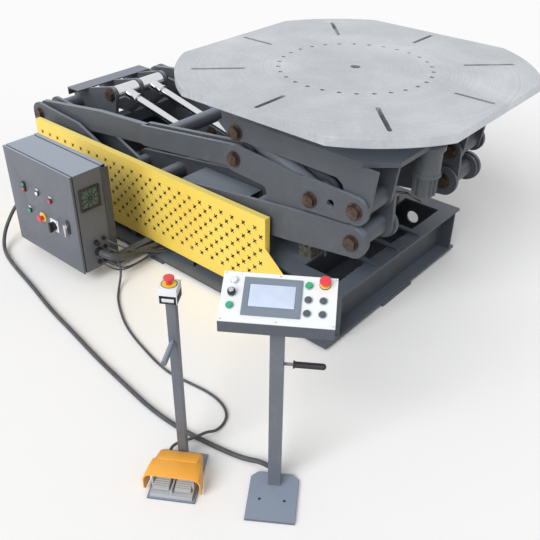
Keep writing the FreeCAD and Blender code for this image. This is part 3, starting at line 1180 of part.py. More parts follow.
def cabinet_cables():
    """Conduit and thin cables from the cabinet's side to the machine's frame."""
    x0 = CAB_X1 + GLAND_L
    out = []
    runs = [([(x0, -1036.0, 182.0), (-870.0, -1036.0, 182.0), (-842.0, -990.0, 164.0), (-850.0, -922.0, 128.0),
              (-872.0, -856.0, 103.0), (-895.0, -789.0, 86.0), (-912.0, -725.0, 66.0), (-919.0, -655.0, 50.0),
              (-919.0, WEB_FACE, 50.0)], 20.0),
            ([(x0, -993.0, 252.0), (-878.0, -993.0, 252.0), (-856.0, -950.0, 214.0), (-858.0, -895.0, 165.0),
              (-846.0, -839.0, 131.0), (-830.0, -755.0, 98.0), (-818.0, -690.0, 68.0), (-813.0, -630.0, 57.0),
              (-813.0, WEB_FACE, 57.0)], 4.5),
            ([(x0, -988.0, 195.0), (-870.0, -988.0, 195.0), (-858.0, -937.0, 168.0), (-878.0, -860.0, 133.0),
              (-872.0, -789.0, 112.0), (-856.0, -725.0, 84.0), (-846.0, -660.0, 60.0), (-842.0, -602.0, 56.0),
              (-842.0, WEB_FACE, 56.0)], 4.5),
            ([(x0, -1040.0, 115.0), (-872.0, -1040.0, 115.0), (-852.0, -998.0, 76.0), (-855.0, -935.0, 50.0),
              (-860.0, -868.0, 42.0), (-868.0, -796.0, 38.0), (-864.0, -735.0, 42.0), (-863.0, -640.0, 44.0),
              (-863.0, WEB_FACE, 44.0)], 4.5),
            ([(x0, -1002.0, 112.0), (-868.0, -1002.0, 112.0), (-861.0, -955.0, 70.0), (-890.0, -900.0, 30.0),
              (-892.0, -830.0, 20.0), (-889.0, -765.0, 26.0), (-886.0, -712.0, 40.0), (-886.0, -640.0, 47.0),
              (-886.0, WEB_FACE, 47.0)], 4.5)]
    for pts, r in runs:
        s, radii = pipe(pts, r, None)
        print("cabinet cable", r, "bends", radii)
        out.append(s)
    return Part.makeCompound(out)


def pendant_cable():
    z = PENDANT_CABLE_R + LAY
    ends = [tuple(to_stand(Part.Vertex(*c)).Point) for c in (CORD_FROM, CORD_ENTRY)]
    pts = [(CAB_X0 - GLAND_L, PENDANT_GLAND[0], PENDANT_GLAND[1]), (-1652.0, PENDANT_GLAND[0], PENDANT_GLAND[1]),
           (-1706.0, -1066.0, 222.0), (-1722.0, -1118.0, 150.0), (-1706.0, -1184.0, 72.0),
           (-1640.0, -1243.0, z + 8.0), (-1530.0, -1286.0, z), (-1380.0, -1322.0, z), (-1150.0, -1366.0, z),
           (-900.0, -1424.0, z), (-640.0, -1464.0, z), (-400.0, -1506.0, z), (-160.0, -1537.0, z),
           (80.0, -1566.0, z), (270.0, -1562.0, z), (401.0, -1541.0, z), (477.0, -1528.0, z),
           (540.0, -1514.0, z), (604.0, -1496.0, z + 1.0)] + ends
    s, radii = pipe(pts, PENDANT_CABLE_R, None)
    print("pendant cable bends", radii)
    return s


def pedal_cable():
    z = PEDAL_CABLE_R + LAY
    ends = [tuple(to_pedal(Part.Vertex(*c)).Point)
            for c in ((-28.0, 78.0, 26.0), (-57.0, 46.0, 30.0), (-60.0, 8.0, 36.0), (-60.0, -29.7, 36.0))]
    pts = [(CAB_X1 + GLAND_L, SIDE_GLANDS["pedal"][0], SIDE_GLANDS["pedal"][1]), (-884.0, -966.0, 128.0),
           (-848.0, -974.0, 100.0), (-828.0, -990.0, 56.0), (-808.0, -1020.0, 20.0), (-768.0, -1064.0, z),
           (-705.0, -1120.0, z), (-610.0, -1180.0, z), (-499.0, -1238.0, z), (-380.0, -1278.0, z),
           (-262.0, -1306.0, z), (-140.0, -1332.0, z), (-26.0, -1342.0, z), (90.0, -1324.0, z), (200.0, -1310.0, z),
           (296.0, -1322.0, z), (362.0, -1360.0, z), (390.0, -1420.0, z), (391.0, -1472.0, z + 6.0),
           (386.0, -1518.0, OVER_Z), (372.0, -1575.0, OVER_Z)] + ends
    s, radii = pipe(pts, PEDAL_CABLE_R, None)
    print("pedal cable bends", radii)
    return s


nodes["cable_glands"] = cable_glands()
nodes["cabinet_cables"] = cabinet_cables()
nodes["pendant_cable"] = pendant_cable()
nodes["pedal_cable"] = pedal_cable()


# ---------------------------------------------------------------- write
CABLES = ("pendant_cable", "pedal_cable")
outer = Part.makeCompound([s for n, s in nodes.items() if n not in CABLES]).optimalBoundingBox()
# the part's own origin: on the floor under the middle of everything but the two loose cables
ORIGIN = V(-outer.Center.x, -outer.Center.y, -outer.ZMin)
for name, shape in nodes.items():
    moved = shape.copy()
    moved.translate(ORIGIN)
    moved.exportStep("parts/%s.step" % name)
print("nodes", len(nodes), "origin shift", tuple(ORIGIN))
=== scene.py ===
import bpy
import bmesh
import math
from mathutils import Matrix, Vector


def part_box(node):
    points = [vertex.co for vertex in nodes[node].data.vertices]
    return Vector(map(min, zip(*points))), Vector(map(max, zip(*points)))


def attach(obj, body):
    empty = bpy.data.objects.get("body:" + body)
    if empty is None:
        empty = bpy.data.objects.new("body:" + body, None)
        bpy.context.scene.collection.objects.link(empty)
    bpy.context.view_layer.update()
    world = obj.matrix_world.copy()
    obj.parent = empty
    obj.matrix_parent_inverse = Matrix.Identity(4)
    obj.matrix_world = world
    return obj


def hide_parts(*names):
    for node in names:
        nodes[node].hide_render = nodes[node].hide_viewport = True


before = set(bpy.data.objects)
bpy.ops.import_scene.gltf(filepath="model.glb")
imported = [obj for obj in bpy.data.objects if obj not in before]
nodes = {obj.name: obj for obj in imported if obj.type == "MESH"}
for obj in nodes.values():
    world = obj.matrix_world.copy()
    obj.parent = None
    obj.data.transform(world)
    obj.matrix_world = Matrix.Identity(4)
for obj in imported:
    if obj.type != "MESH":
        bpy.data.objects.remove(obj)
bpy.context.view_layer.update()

# everything below is placed from the middle of the face plate, as in the source
plateLow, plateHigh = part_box("face_plate")
middle = Vector(((plateLow[0] + plateHigh[0]) / 2, (plateLow[1] + plateHigh[1]) / 2, 0.0))


def turnZ(degrees):
    return Matrix.Rotation(math.radians(degrees), 4, "Z")


standPlace = {"at": (0.765, -1.504, 0.0), "turn": 34.4}
pedalPlace = {"at": (0.398, -1.667, 0.0), "turn": 32.5}
consolePlace = {"deep": 0.195, "tilt": 25.0, "frontHeight": 0.890}
panelTilt = math.radians(consolePlace["tilt"])
panelRun = consolePlace["deep"] * math.cos(panelTilt)
onMachine = Matrix.Translation(middle)
onStand = onMachine @ Matrix.Translation(standPlace["at"]) @ turnZ(standPlace["turn"])
onPedal = onMachine @ Matrix.Translation(pedalPlace["at"]) @ turnZ(pedalPlace["turn"])
onPanel = (onStand @ Matrix.Translation((0.0, -panelRun / 2, consolePlace["frontHeight"]))
           @ Matrix.Rotation(panelTilt, 4, "X"))

# ---- camera
cameraPlace = {"at": (2.0078, -3.0129, 2.3645), "turn": 40.35, "tip": 56.12, "roll": 0.74, "lens": 47.7,
               "sensor": 36.0, "reach": 100.0}
cameraData = bpy.data.cameras.new("camera")
cameraData.sensor_width = cameraPlace["sensor"]
cameraData.lens = cameraPlace["lens"]
cameraData.clip_end = cameraPlace["reach"]
camera = bpy.data.objects.new("camera", cameraData)
bpy.context.scene.collection.objects.link(camera)
camera.matrix_world = (Matrix.Translation(middle + Vector(cameraPlace["at"])) @ turnZ(cameraPlace["turn"])
                       @ Matrix.Rotation(math.radians(cameraPlace["tip"]), 4, "X") @ turnZ(cameraPlace["roll"]))
bpy.context.scene.camera = camera
print("camera placed")


# ---- small helpers
def hexColour(text, alpha=1.0):
    parts = [int(text[i:i + 2], 16) / 255.0 for i in (1, 3, 5)]
    return tuple(c / 12.92 if c <= 0.04045 else ((c + 0.055) / 1.055) ** 2.4 for c in parts) + (alpha,)


def only(piece):
    if bpy.context.object and bpy.context.object.mode != "OBJECT":
        bpy.ops.object.mode_set(mode="OBJECT")
    bpy.ops.object.select_all(action="DESELECT")
    piece.select_set(True)
    bpy.context.view_layer.objects.active = piece


def editMode(piece):
    only(piece)
    bpy.ops.object.mode_set(mode="EDIT")
    bpy.ops.mesh.select_mode(type="FACE")
    bpy.ops.mesh.select_all(action="DESELECT")


def pickFaces(piece, wanted):
    mesh = bmesh.from_edit_mesh(piece.data)
    for face in mesh.faces:
        face.select_set(bool(wanted(face.calc_center_median(), face.normal)))
    bmesh.update_edit_mesh(piece.data)


def objectMode():
    bpy.ops.object.mode_set(mode="OBJECT")


# angles from which an edge is rounded or shaded sharp
edgeAngles = {"rounded": 35.0, "smooth": 32.0, "sheet": 30.0}


def roundEdges(piece, width, steps=3):
    only(piece)
    rounding = piece.modifiers.new("rounding", "BEVEL")
    rounding.width = width
    rounding.segments = steps
    rounding.limit_method = "ANGLE"
    rounding.angle_limit = math.radians(edgeAngles["rounded"])
    bpy.ops.object.modifier_apply(modifier="rounding")
    bpy.ops.object.shade_smooth_by_angle(angle=math.radians(edgeAngles["smooth"]))


def settle(piece, place):
    piece.matrix_world = place @ piece.matrix_world
    only(piece)
    bpy.ops.object.transform_apply(location=True, rotation=True, scale=True)


def joinPieces(pieces, name):
    only(pieces[0])
    for other in pieces[1:]:
        other.select_set(True)
    bpy.ops.object.join()
    whole = bpy.context.object
    whole.name = name
    return whole


def another(piece):
    twin = piece.copy()
    twin.data = piece.data.copy()
    bpy.context.scene.collection.objects.link(twin)
    return twin


# a node with its settings, its links and, on a colour ramp, its steps; hex colours are turned linear here
def addNode(tree, kind, values=None, links=None, steps=()):
    node = tree.nodes.new(kind)
    for key, value in (values or {}).items():
        if isinstance(key, str) and hasattr(node, key):
            setattr(node, key, value)
        else:
            node.inputs[key].default_value = hexColour(value) if isinstance(value, str) else value
    for key, (source, output) in (links or {}).items():
        tree.links.new(source.outputs[output], node.inputs[key])
    if steps:
        while len(node.color_ramp.elements) < len(steps):
            node.color_ramp.elements.new(0.5)
        for element, (spot, colour) in zip(node.color_ramp.elements, steps):
            element.position = spot
            element.color = hexColour(colour) if isinstance(colour, str) else (colour, colour, colour, 1.0)
    return node


def startMaterial(name, values):
    material = bpy.data.materials.new(name)
    material.use_nodes = True
    tree = material.node_tree
    tree.nodes.clear()
    shader = addNode(tree, "ShaderNodeBsdfPrincipled", values)
    addNode(tree, "ShaderNodeOutputMaterial", None, {"Surface": (shader, "BSDF")})
    place = addNode(tree, "ShaderNodeTexCoord")
    return material, tree, shader, place


# ---- finishes
# sprayed machine paint over welded steel plate: slight orange peel, cloudy where it went on thin, rubbed edges, and a
# lighter, bluer tint on upward faces that is partly settled dust and partly painted sky light
def machinePaint(name, colour, cloudy, rubbed, roughness, grime=0.3, topDustSkyTint="#8e98a6", topDustSkyShare=0.6):
    material, tree, shader, place = startMaterial(name, {"IOR": 1.5, "Specular IOR Level": 0.5})
    # clouds of thinner paint, about 300 mm across
    clouds = addNode(tree, "ShaderNodeTexNoise", {"Scale": 3.2, "Detail": 5.0, "Roughness": 0.62},
                     {"Vector": (place, "Object")})
    body = addNode(tree, "ShaderNodeValToRGB", None, {"Fac": (clouds, "Fac")}, [(0.32, cloudy), (0.68, colour)])
    # dust and handling marks, about 50 mm across
    marks = addNode(tree, "ShaderNodeTexNoise", {"Scale": 21.0, "Detail": 8.0, "Roughness": 0.7, "Distortion": 0.6},
                    {"Vector": (place, "Object")})
    dust = addNode(tree, "ShaderNodeValToRGB", None, {"Fac": (marks, "Fac")}, [(0.52, 0.0), (0.74, grime)])
    dusty = addNode(tree, "ShaderNodeMix", {"data_type": "RGBA", 7: rubbed}, {0: (dust, "Color"), 6: (body, "Color")})
    # fine pale dust settled on faces that look up, together with painted sky light: upward faces are made lighter and
    # bluer as if lit from above
    plain = addNode(tree, "ShaderNodeNewGeometry")
    upward = addNode(tree, "ShaderNodeSeparateXYZ", None, {0: (plain, "Normal")})
    topDustSkyMask = addNode(tree, "ShaderNodeValToRGB", None, {"Fac": (upward, "Z")}, [(0.55, 0.0), (0.92, topDustSkyShare)])
    dustAndSkyLitTop = addNode(tree, "ShaderNodeMix", {"data_type": "RGBA", 7: topDustSkyTint}, {0: (topDustSkyMask, "Color"), 6: (dusty, 2)})
    # plate edges where the paint is rubbed thin: a 3 mm bevel that the plain normal doesn't follow
    soft = addNode(tree, "ShaderNodeBevel", {"samples": 4, "Radius": 0.003})
    meet = addNode(tree, "ShaderNodeVectorMath", {"operation": "DOT_PRODUCT"},
                   {0: (soft, "Normal"), 1: (plain, "Normal")})
    edge = addNode(tree, "ShaderNodeValToRGB", None, {"Fac": (meet, "Value")}, [(0.86, 0.55), (0.985, 0.0)])
    coat = addNode(tree, "ShaderNodeMix", {"data_type": "RGBA", 7: rubbed}, {0: (edge, "Color"), 6: (dustAndSkyLitTop, 2)})
    tree.links.new(coat.outputs[2], shader.inputs["Base Color"])
    sheen = addNode(tree, "ShaderNodeMapRange", {"From Min": 0.3, "From Max": 0.7, "To Min": roughness - 0.07,
                                                 "To Max": roughness + 0.09}, {"Value": (marks, "Fac")})
    tree.links.new(sheen.outputs[0], shader.inputs["Roughness"])
    # orange peel is about 2 mm across
    peel = addNode(tree, "ShaderNodeTexNoise", {"Scale": 420.0, "Detail": 2.0}, {"Vector": (place, "Object")})
    relief = addNode(tree, "ShaderNodeBump", {"Strength": 0.06, "Distance": 0.002},
                     {"Height": (peel, "Fac"), "Normal": (soft, "Normal")})
    tree.links.new(relief.outputs[0], shader.inputs["Normal"])
    return material


# hot-rolled plate faced on a lathe: rings from the tool, drawn 5 mm apart so they show, mill stains and handling
def turnedPlate(name, centre):
    material, tree, shader, place = startMaterial(name, {"Metallic": 0.85, "Roughness": 0.45})
    centred = addNode(tree, "ShaderNodeMapping", {"Location": (-centre[0], -centre[1], 0.0)},
                      {"Vector": (place, "Object")})
    flat = addNode(tree, "ShaderNodeVectorMath", {"operation": "MULTIPLY", 1: (1.0, 1.0, 0.0)},
                   {0: (centred, "Vector")})
    reach = addNode(tree, "ShaderNodeVectorMath", {"operation": "LENGTH"}, {0: (flat, "Vector")})
    rings = addNode(tree, "ShaderNodeTexNoise", {"noise_dimensions": "1D", "Scale": 1.0, "Detail": 5.0,
                                                 "Roughness": 0.75})
    wide = addNode(tree, "ShaderNodeMath", {"operation": "MULTIPLY", 1: 90.0}, {0: (reach, "Value")})
    tree.links.new(wide.outputs[0], rings.inputs["W"])
    stains = addNode(tree, "ShaderNodeTexNoise", {"Scale": 2.6, "Detail": 9.0, "Roughness": 0.66,
                                                  "Distortion": 0.5}, {"Vector": (place, "Object")})
    speckle = addNode(tree, "ShaderNodeTexNoise", {"Scale": 60.0, "Detail": 4.0, "Roughness": 0.7},
                      {"Vector": (place, "Object")})
    body = addNode(tree, "ShaderNodeValToRGB", None, {"Fac": (stains, "Fac")},
                   [(0.3, "#b3b7bb"), (0.5, "#c6cacf"), (0.7, "#d6dade")])
    turned = addNode(tree, "ShaderNodeValToRGB", None, {"Fac": (rings, "Fac")}, [(0.35, 0.0), (0.7, 0.4)])
    lined = addNode(tree, "ShaderNodeMix", {"data_type": "RGBA", 7: "#a9adb1"},
                    {0: (turned, "Color"), 6: (body, "Color")})
    spots = addNode(tree, "ShaderNodeValToRGB", None, {"Fac": (speckle, "Fac")}, [(0.5, 0.0), (0.75, 0.35)])
    worn = addNode(tree, "ShaderNodeMix", {"data_type": "RGBA", 7: "#e0e2e4"}, {0: (spots, "Color"), 6: (lined, 2)})
    tree.links.new(worn.outputs[2], shader.inputs["Base Color"])
    dull = addNode(tree, "ShaderNodeMapRange", {"From Min": 0.3, "From Max": 0.7, "To Min": 0.36, "To Max": 0.56},
                   {"Value": (stains, "Fac")})
    tree.links.new(dull.outputs[0], shader.inputs["Roughness"])
    relief = addNode(tree, "ShaderNodeBump", {"Strength": 0.12, "Distance": 0.001}, {"Height": (rings, "Fac")})
    soft = addNode(tree, "ShaderNodeBevel", {"samples": 4, "Radius": 0.002})
    tree.links.new(soft.outputs[0], relief.inputs["Normal"])
    tree.links.new(relief.outputs[0], shader.inputs["Normal"])
    return material


# hard chrome on a ground rod: a clean mirror with a faint haze of oil
def chromedRod(name):
    material, tree, shader, place = startMaterial(name, {"Metallic": 1.0, "Roughness": 0.12,
                                                         "Base Color": "#d9dadd"})
    haze = addNode(tree, "ShaderNodeTexNoise", {"Scale": 35.0, "Detail": 6.0}, {"Vector": (place, "Object")})
    dull = addNode(tree, "ShaderNodeMapRange", {"From Min": 0.35, "From Max": 0.75, "To Min": 0.08,
                                                "To Max": 0.26}, {"Value": (haze, "Fac")})
    tree.links.new(dull.outputs[0], shader.inputs["Roughness"])
    return material


# machined or blacked steel, oiled: brown-black with bright rubbed spots
def oiledSteel(name, dark, light, roughness, metallic=0.6):
    material, tree, shader, place = startMaterial(name, {"Metallic": metallic, "Roughness": roughness})
    film = addNode(tree, "ShaderNodeTexNoise", {"Scale": 26.0, "Detail": 7.0, "Roughness": 0.7},
                   {"Vector": (place, "Object")})
    body = addNode(tree, "ShaderNodeValToRGB", None, {"Fac": (film, "Fac")}, [(0.34, dark), (0.7, light)])
    tree.links.new(body.outputs[0], shader.inputs["Base Color"])
    wet = addNode(tree, "ShaderNodeMapRange", {"From Min": 0.3, "From Max": 0.7, "To Min": roughness + 0.12,
                                               "To Max": roughness - 0.1}, {"Value": (film, "Fac")})
    tree.links.new(wet.outputs[0], shader.inputs["Roughness"])
    soft = addNode(tree, "ShaderNodeBevel", {"samples": 4, "Radius": 0.0015})
    turning = addNode(tree, "ShaderNodeTexNoise", {"Scale": 300.0, "Detail": 2.0}, {"Vector": (place, "Object")})
    relief = addNode(tree, "ShaderNodeBump", {"Strength": 0.08, "Distance": 0.001},
                     {"Height": (turning, "Fac"), "Normal": (soft, "Normal")})
    tree.links.new(relief.outputs[0], shader.inputs["Normal"])
    return material


# injection-moulded plastic: an even colour, fine spark-eroded grain on the skin, a little scuffing
def mouldedPlastic(name, colour, scuffed, roughness, grain=0.05, clear=0.0):
    material, tree, shader, place = startMaterial(name, {"IOR": 1.49, "Coat Weight": clear})
    scuffs = addNode(tree, "ShaderNodeTexNoise", {"Scale": 70.0, "Detail": 6.0, "Roughness": 0.65},
                     {"Vector": (place, "Object")})
    share = addNode(tree, "ShaderNodeValToRGB", None, {"Fac": (scuffs, "Fac")}, [(0.5, 0.0), (0.8, 0.5)])
    body = addNode(tree, "ShaderNodeMix", {"data_type": "RGBA", 6: colour, 7: scuffed}, {0: (share, "Color")})
    tree.links.new(body.outputs[2], shader.inputs["Base Color"])
    sheen = addNode(tree, "ShaderNodeMapRange", {"From Min": 0.3, "From Max": 0.75, "To Min": roughness - 0.04,
                                                 "To Max": roughness + 0.12}, {"Value": (scuffs, "Fac")})
    tree.links.new(sheen.outputs[0], shader.inputs["Roughness"])
    # spark-eroded grain is about 0.7 mm across
    skin = addNode(tree, "ShaderNodeTexNoise", {"Scale": 1400.0, "Detail": 2.0}, {"Vector": (place, "Object")})
    soft = addNode(tree, "ShaderNodeBevel", {"samples": 4, "Radius": 0.001})
    relief = addNode(tree, "ShaderNodeBump", {"Strength": grain, "Distance": 0.0006},
                     {"Height": (skin, "Fac"), "Normal": (soft, "Normal")})
    tree.links.new(relief.outputs[0], shader.inputs["Normal"])
    return material


# extruded PVC or rubber cable jacket: dull, dusty, with the twist of the cores just showing
def cableJacket(name, colour, dusty, roughness=0.52):
    material, tree, shader, place = startMaterial(name, {"IOR": 1.5, "Sheen Weight": 0.12})
    dust = addNode(tree, "ShaderNodeTexNoise", {"Scale": 28.0, "Detail": 7.0, "Roughness": 0.7},
                   {"Vector": (place, "Object")})
    body = addNode(tree, "ShaderNodeValToRGB", None, {"Fac": (dust, "Fac")}, [(0.36, colour), (0.78, dusty)])
    tree.links.new(body.outputs[0], shader.inputs["Base Color"])
    sheen = addNode(tree, "ShaderNodeMapRange", {"From Min": 0.3, "From Max": 0.75, "To Min": roughness - 0.08,
                                                 "To Max": roughness + 0.14}, {"Value": (dust, "Fac")})
    tree.links.new(sheen.outputs[0], shader.inputs["Roughness"])
    twist = addNode(tree, "ShaderNodeTexNoise", {"Scale": 240.0, "Detail": 3.0}, {"Vector": (place, "Object")})
    relief = addNode(tree, "ShaderNodeBump", {"Strength": 0.1, "Distance": 0.001}, {"Height": (twist, "Fac")})
    tree.links.new(relief.outputs[0], shader.inputs["Normal"])
    return material


# the last colour and share given to each paint are its upward-face tint: settled dust mixed with painted sky light on
# the tops
framePaint = machinePaint("frame machine paint", "#54585f", "#4c5056", "#71767e", 0.46)
# the base beams use a darker copy of the frame paint: painted shade standing in for how dark the beams look, with a
# weaker sky-lit tint on their tops
beamPaintShadedCopy = machinePaint("base beam machine paint darkened as painted shade", "#484c53", "#40444b", "#6b7078", 0.46, 0.3, "#737d8b", 0.5)
standPaint = machinePaint("stand machine paint", "#6c717a", "#636871", "#8a9099", 0.45, 0.3, "#95a2b6", 0.8)
cabinetPaint = machinePaint("cabinet powder coat", "#6a6e77", "#646871", "#858a92", 0.42, 0.1, "#a3adbc", 0.85)
guardPaint = machinePaint("guard powder coat", "#ffe06a", "#fbd75c", "#ffeb9c", 0.4, 0.1, "#fff08c", 0.6)
plateSteel = turnedPlate("faced steel plate", middle)
rodChrome = chromedRod("hard chrome")
satinRing = oiledSteel("satin nickel ring", "#a9afb6", "#c5cad0", 0.34, 0.5)
pinSteel = oiledSteel("oiled pin steel", "#3a2d27", "#6a5a50", 0.42)
gearSteel = oiledSteel("machined gear steel", "#5d5c5a", "#8b8a86", 0.4, 0.8)
motorPaint = machinePaint("gearmotor casting paint", "#63676b", "#5b5f63", "#7b7f83", 0.5)
valveSteel = oiledSteel("zinc plated fittings", "#5b5852", "#aaa59a", 0.38, 0.7)
blackPlastic = mouldedPlastic("black moulded plastic", "#202123", "#3b3c3e", 0.42)
capDark = mouldedPlastic("dark grey button cap", "#4f5763", "#5f6773", 0.4)
grilleBrown = mouldedPlastic("brown-black moulded grille", "#2c2a24", "#45423a", 0.5)
jacketBlack = cableJacket("black cable jacket", "#3a3d42", "#5b5f64")
panelLight = mouldedPlastic("light panel foil", "#eef1f3", "#e2e6e9", 0.36, 0.02)
boxGrey = machinePaint("console box powder coat", "#555a63", "#50545d", "#6f757e", 0.42, 0.15)
bezelGrey = mouldedPlastic("blue-grey screen frame", "#7b8695", "#8a95a3", 0.4)
redPlastic = mouldedPlastic("red moulded cap", "#e33642", "#ee6a70", 0.3, 0.01, 0.3)
greenPlastic = mouldedPlastic("green moulded cap", "#1fae72", "#58c693", 0.32, 0.01, 0.2)
whitePlastic = mouldedPlastic("white moulded plastic", "#e9ecf1", "#dcdfe3", 0.34, 0.02)
yellowPlastic = mouldedPlastic("yellow moulded disc", "#f2cf45", "#f6dd7c", 0.36, 0.02)
orangePlastic = mouldedPlastic("orange moulded hood", "#ffb444", "#ffc66e", 0.34, 0.04)
pedalPlastic = mouldedPlastic("light grey moulded pedal", "#b4b8bb", "#c8cbcd", 0.45)
tagPlastic = mouldedPlastic("blank tag plastic", "#c4d2da", "#b5c4cd", 0.4)
print("finishes made")

nodeFinish = {
    "base_frame": beamPaintShadedCopy, "tower": framePaint, "tower_pins": pinSteel, "guard": guardPaint,
    "pump_cover": framePaint, "hydraulics": valveSteel, "cabinet_body": cabinetPaint, "fan_grille": grilleBrown,
    "cable_glands": blackPlastic, "cabinet_cables": jacketBlack, "pendant_cable": jacketBlack,
    "pedal_cable": jacketBlack, "pendant_stand": standPaint, "pendant_grip": blackPlastic, "console_box": boxGrey,
    "console_panel": panelLight, "hmi": bezelGrey, "console_fittings": blackPlastic, "pedal_stand": standPaint,
    "estop_box": whitePlastic, "pedal_body": pedalPlastic, "pedal_hood": orangePlastic, "lower_arms": framePaint,
    "lower_arm_pins": pinSteel, "upper_arms": framePaint, "carriers": framePaint, "carrier_pins": pinSteel,
    "head_plate": framePaint, "head_frame": framePaint, "head_pins": pinSteel, "slew_ring_fixed": gearSteel,
    "gearmotor": motorPaint, "face_plate": plateSteel, "slew_gear": gearSteel, "drive_pinion": gearSteel,
    "lift_rods": rodChrome, "lift_barrels": framePaint, "tilt_rods": rodChrome, "tilt_barrels": framePaint,
    "cabinet_door": cabinetPaint, "door_fittings": blackPlastic, "door_handle": rodChrome,
    "main_switch": blackPlastic, "button_white": whitePlastic, "button_red": redPlastic,
    "button_green": greenPlastic, "dual_on": greenPlastic, "dual_off": redPlastic, "door_estop": redPlastic,
    "console_knob": blackPlastic, "console_green_a": greenPlastic, "console_green_b": greenPlastic,
    "console_estop": redPlastic, "stand_estop": redPlastic, "pedal_left": pedalPlastic,
    "pedal_right": pedalPlastic, "console_dark_1": capDark, "console_dark_2": capDark,
    "console_dark_3": capDark, "console_dark_4": capDark,
}
for nodeName, finish in nodeFinish.items():
    for finishSlot in nodes[nodeName].material_slots:
        finishSlot.material = finish
print("finishes on", len(nodeFinish), "nodes")


# ---- cords
def cordCurve(name, points, diameter):
    data = bpy.data.curves.new(name, "CURVE")
    data.dimensions = "3D"
    line = data.splines.new("NURBS")
    line.points.add(len(points) - 1)
    for spot, point in zip(line.points, points):
        spot.co = (*point, 1.0)
    line.order_u = 3
    line.use_endpoint_u = True
    data.resolution_u = 12
    data.bevel_depth = diameter / 2
    data.bevel_resolution = 5
    data.use_fill_caps = True
    data.materials.append(jacketBlack)
    cord = bpy.data.objects.new(name, data)
    bpy.context.scene.collection.objects.link(cord)
    return cord


def routeLength(points, steps=40):
    # length of the smooth line through the route, quadratic pieces from middle to middle of the runs
    total, last = 0.0, points[0]
    for n in range(1, len(points) - 1):
        start = points[0] if n == 1 else (points[n - 1] + points[n]) / 2
        end = points[-1] if n == len(points) - 2 else (points[n] + points[n + 1]) / 2
        for k in range(1, steps + 1):
            t = k / steps
            spot = start * (1 - t) ** 2 + points[n] * 2 * t * (1 - t) + end * t * t
            total += (spot - last).length
            last = spot
    return total


def layCord(name, node, diameter, points):
    cord = cordCurve(name, points, diameter)
    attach(cord, "base")
    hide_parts(node)
    routeLength(points)


pendantRoute = {
    "diameter": 0.022,
    "onMachine": [(-1.594, -1.040, 0.262), (-1.652, -1.040, 0.262), (-1.706, -1.066, 0.222),
                  (-1.722, -1.118, 0.150), (-1.706, -1.184, 0.072), (-1.640, -1.243, 0.0193),
                  (-1.530, -1.286, 0.0113), (-1.380, -1.322, 0.0113), (-1.150, -1.366, 0.0113),
                  (-0.900, -1.424, 0.0113), (-0.640, -1.464, 0.0113), (-0.400, -1.506, 0.0113),
                  (-0.160, -1.537, 0.0113), (0.080, -1.566, 0.0113), (0.270, -1.562, 0.0113),
                  (0.401, -1.541, 0.0113), (0.477, -1.528, 0.0113), (0.540, -1.514, 0.0113),
                  (0.604, -1.496, 0.0123)],
    "onStand": [(-0.054, 0.079, 0.026), (0.0133, 0.0153, 0.0476)],
}
layCord("pendantCable", "pendant_cable", pendantRoute["diameter"],
        [onMachine @ Vector(p) for p in pendantRoute["onMachine"]]
        + [onStand @ Vector(p) for p in pendantRoute["onStand"]])

pedalRoute = {
    "diameter": 0.013,
    "onMachine": [(-0.922, -0.966, 0.128), (-0.884, -0.966, 0.128), (-0.848, -0.974, 0.100),
                  (-0.828, -0.990, 0.056), (-0.808, -1.020, 0.020), (-0.768, -1.064, 0.0068),
                  (-0.705, -1.120, 0.0068), (-0.610, -1.180, 0.0068), (-0.499, -1.238, 0.0068),
                  (-0.380, -1.278, 0.0068), (-0.262, -1.306, 0.0068), (-0.140, -1.332, 0.0068),
                  (-0.026, -1.342, 0.0068), (0.090, -1.324, 0.0068), (0.200, -1.310, 0.0068),
                  (0.296, -1.322, 0.0068), (0.362, -1.360, 0.0068), (0.390, -1.420, 0.0068),
                  (0.391, -1.472, 0.0128), (0.386, -1.518, 0.0421), (0.372, -1.575, 0.0421)],
    "onPedal": [(-0.028, 0.078, 0.026), (-0.057, 0.046, 0.030), (-0.060, 0.008, 0.036), (-0.060, -0.0297, 0.036)],
}
layCord("pedalCable", "pedal_cable", pedalRoute["diameter"],
        [onMachine @ Vector(p) for p in pedalRoute["onMachine"]]
        + [onPedal @ Vector(p) for p in pedalRoute["onPedal"]])

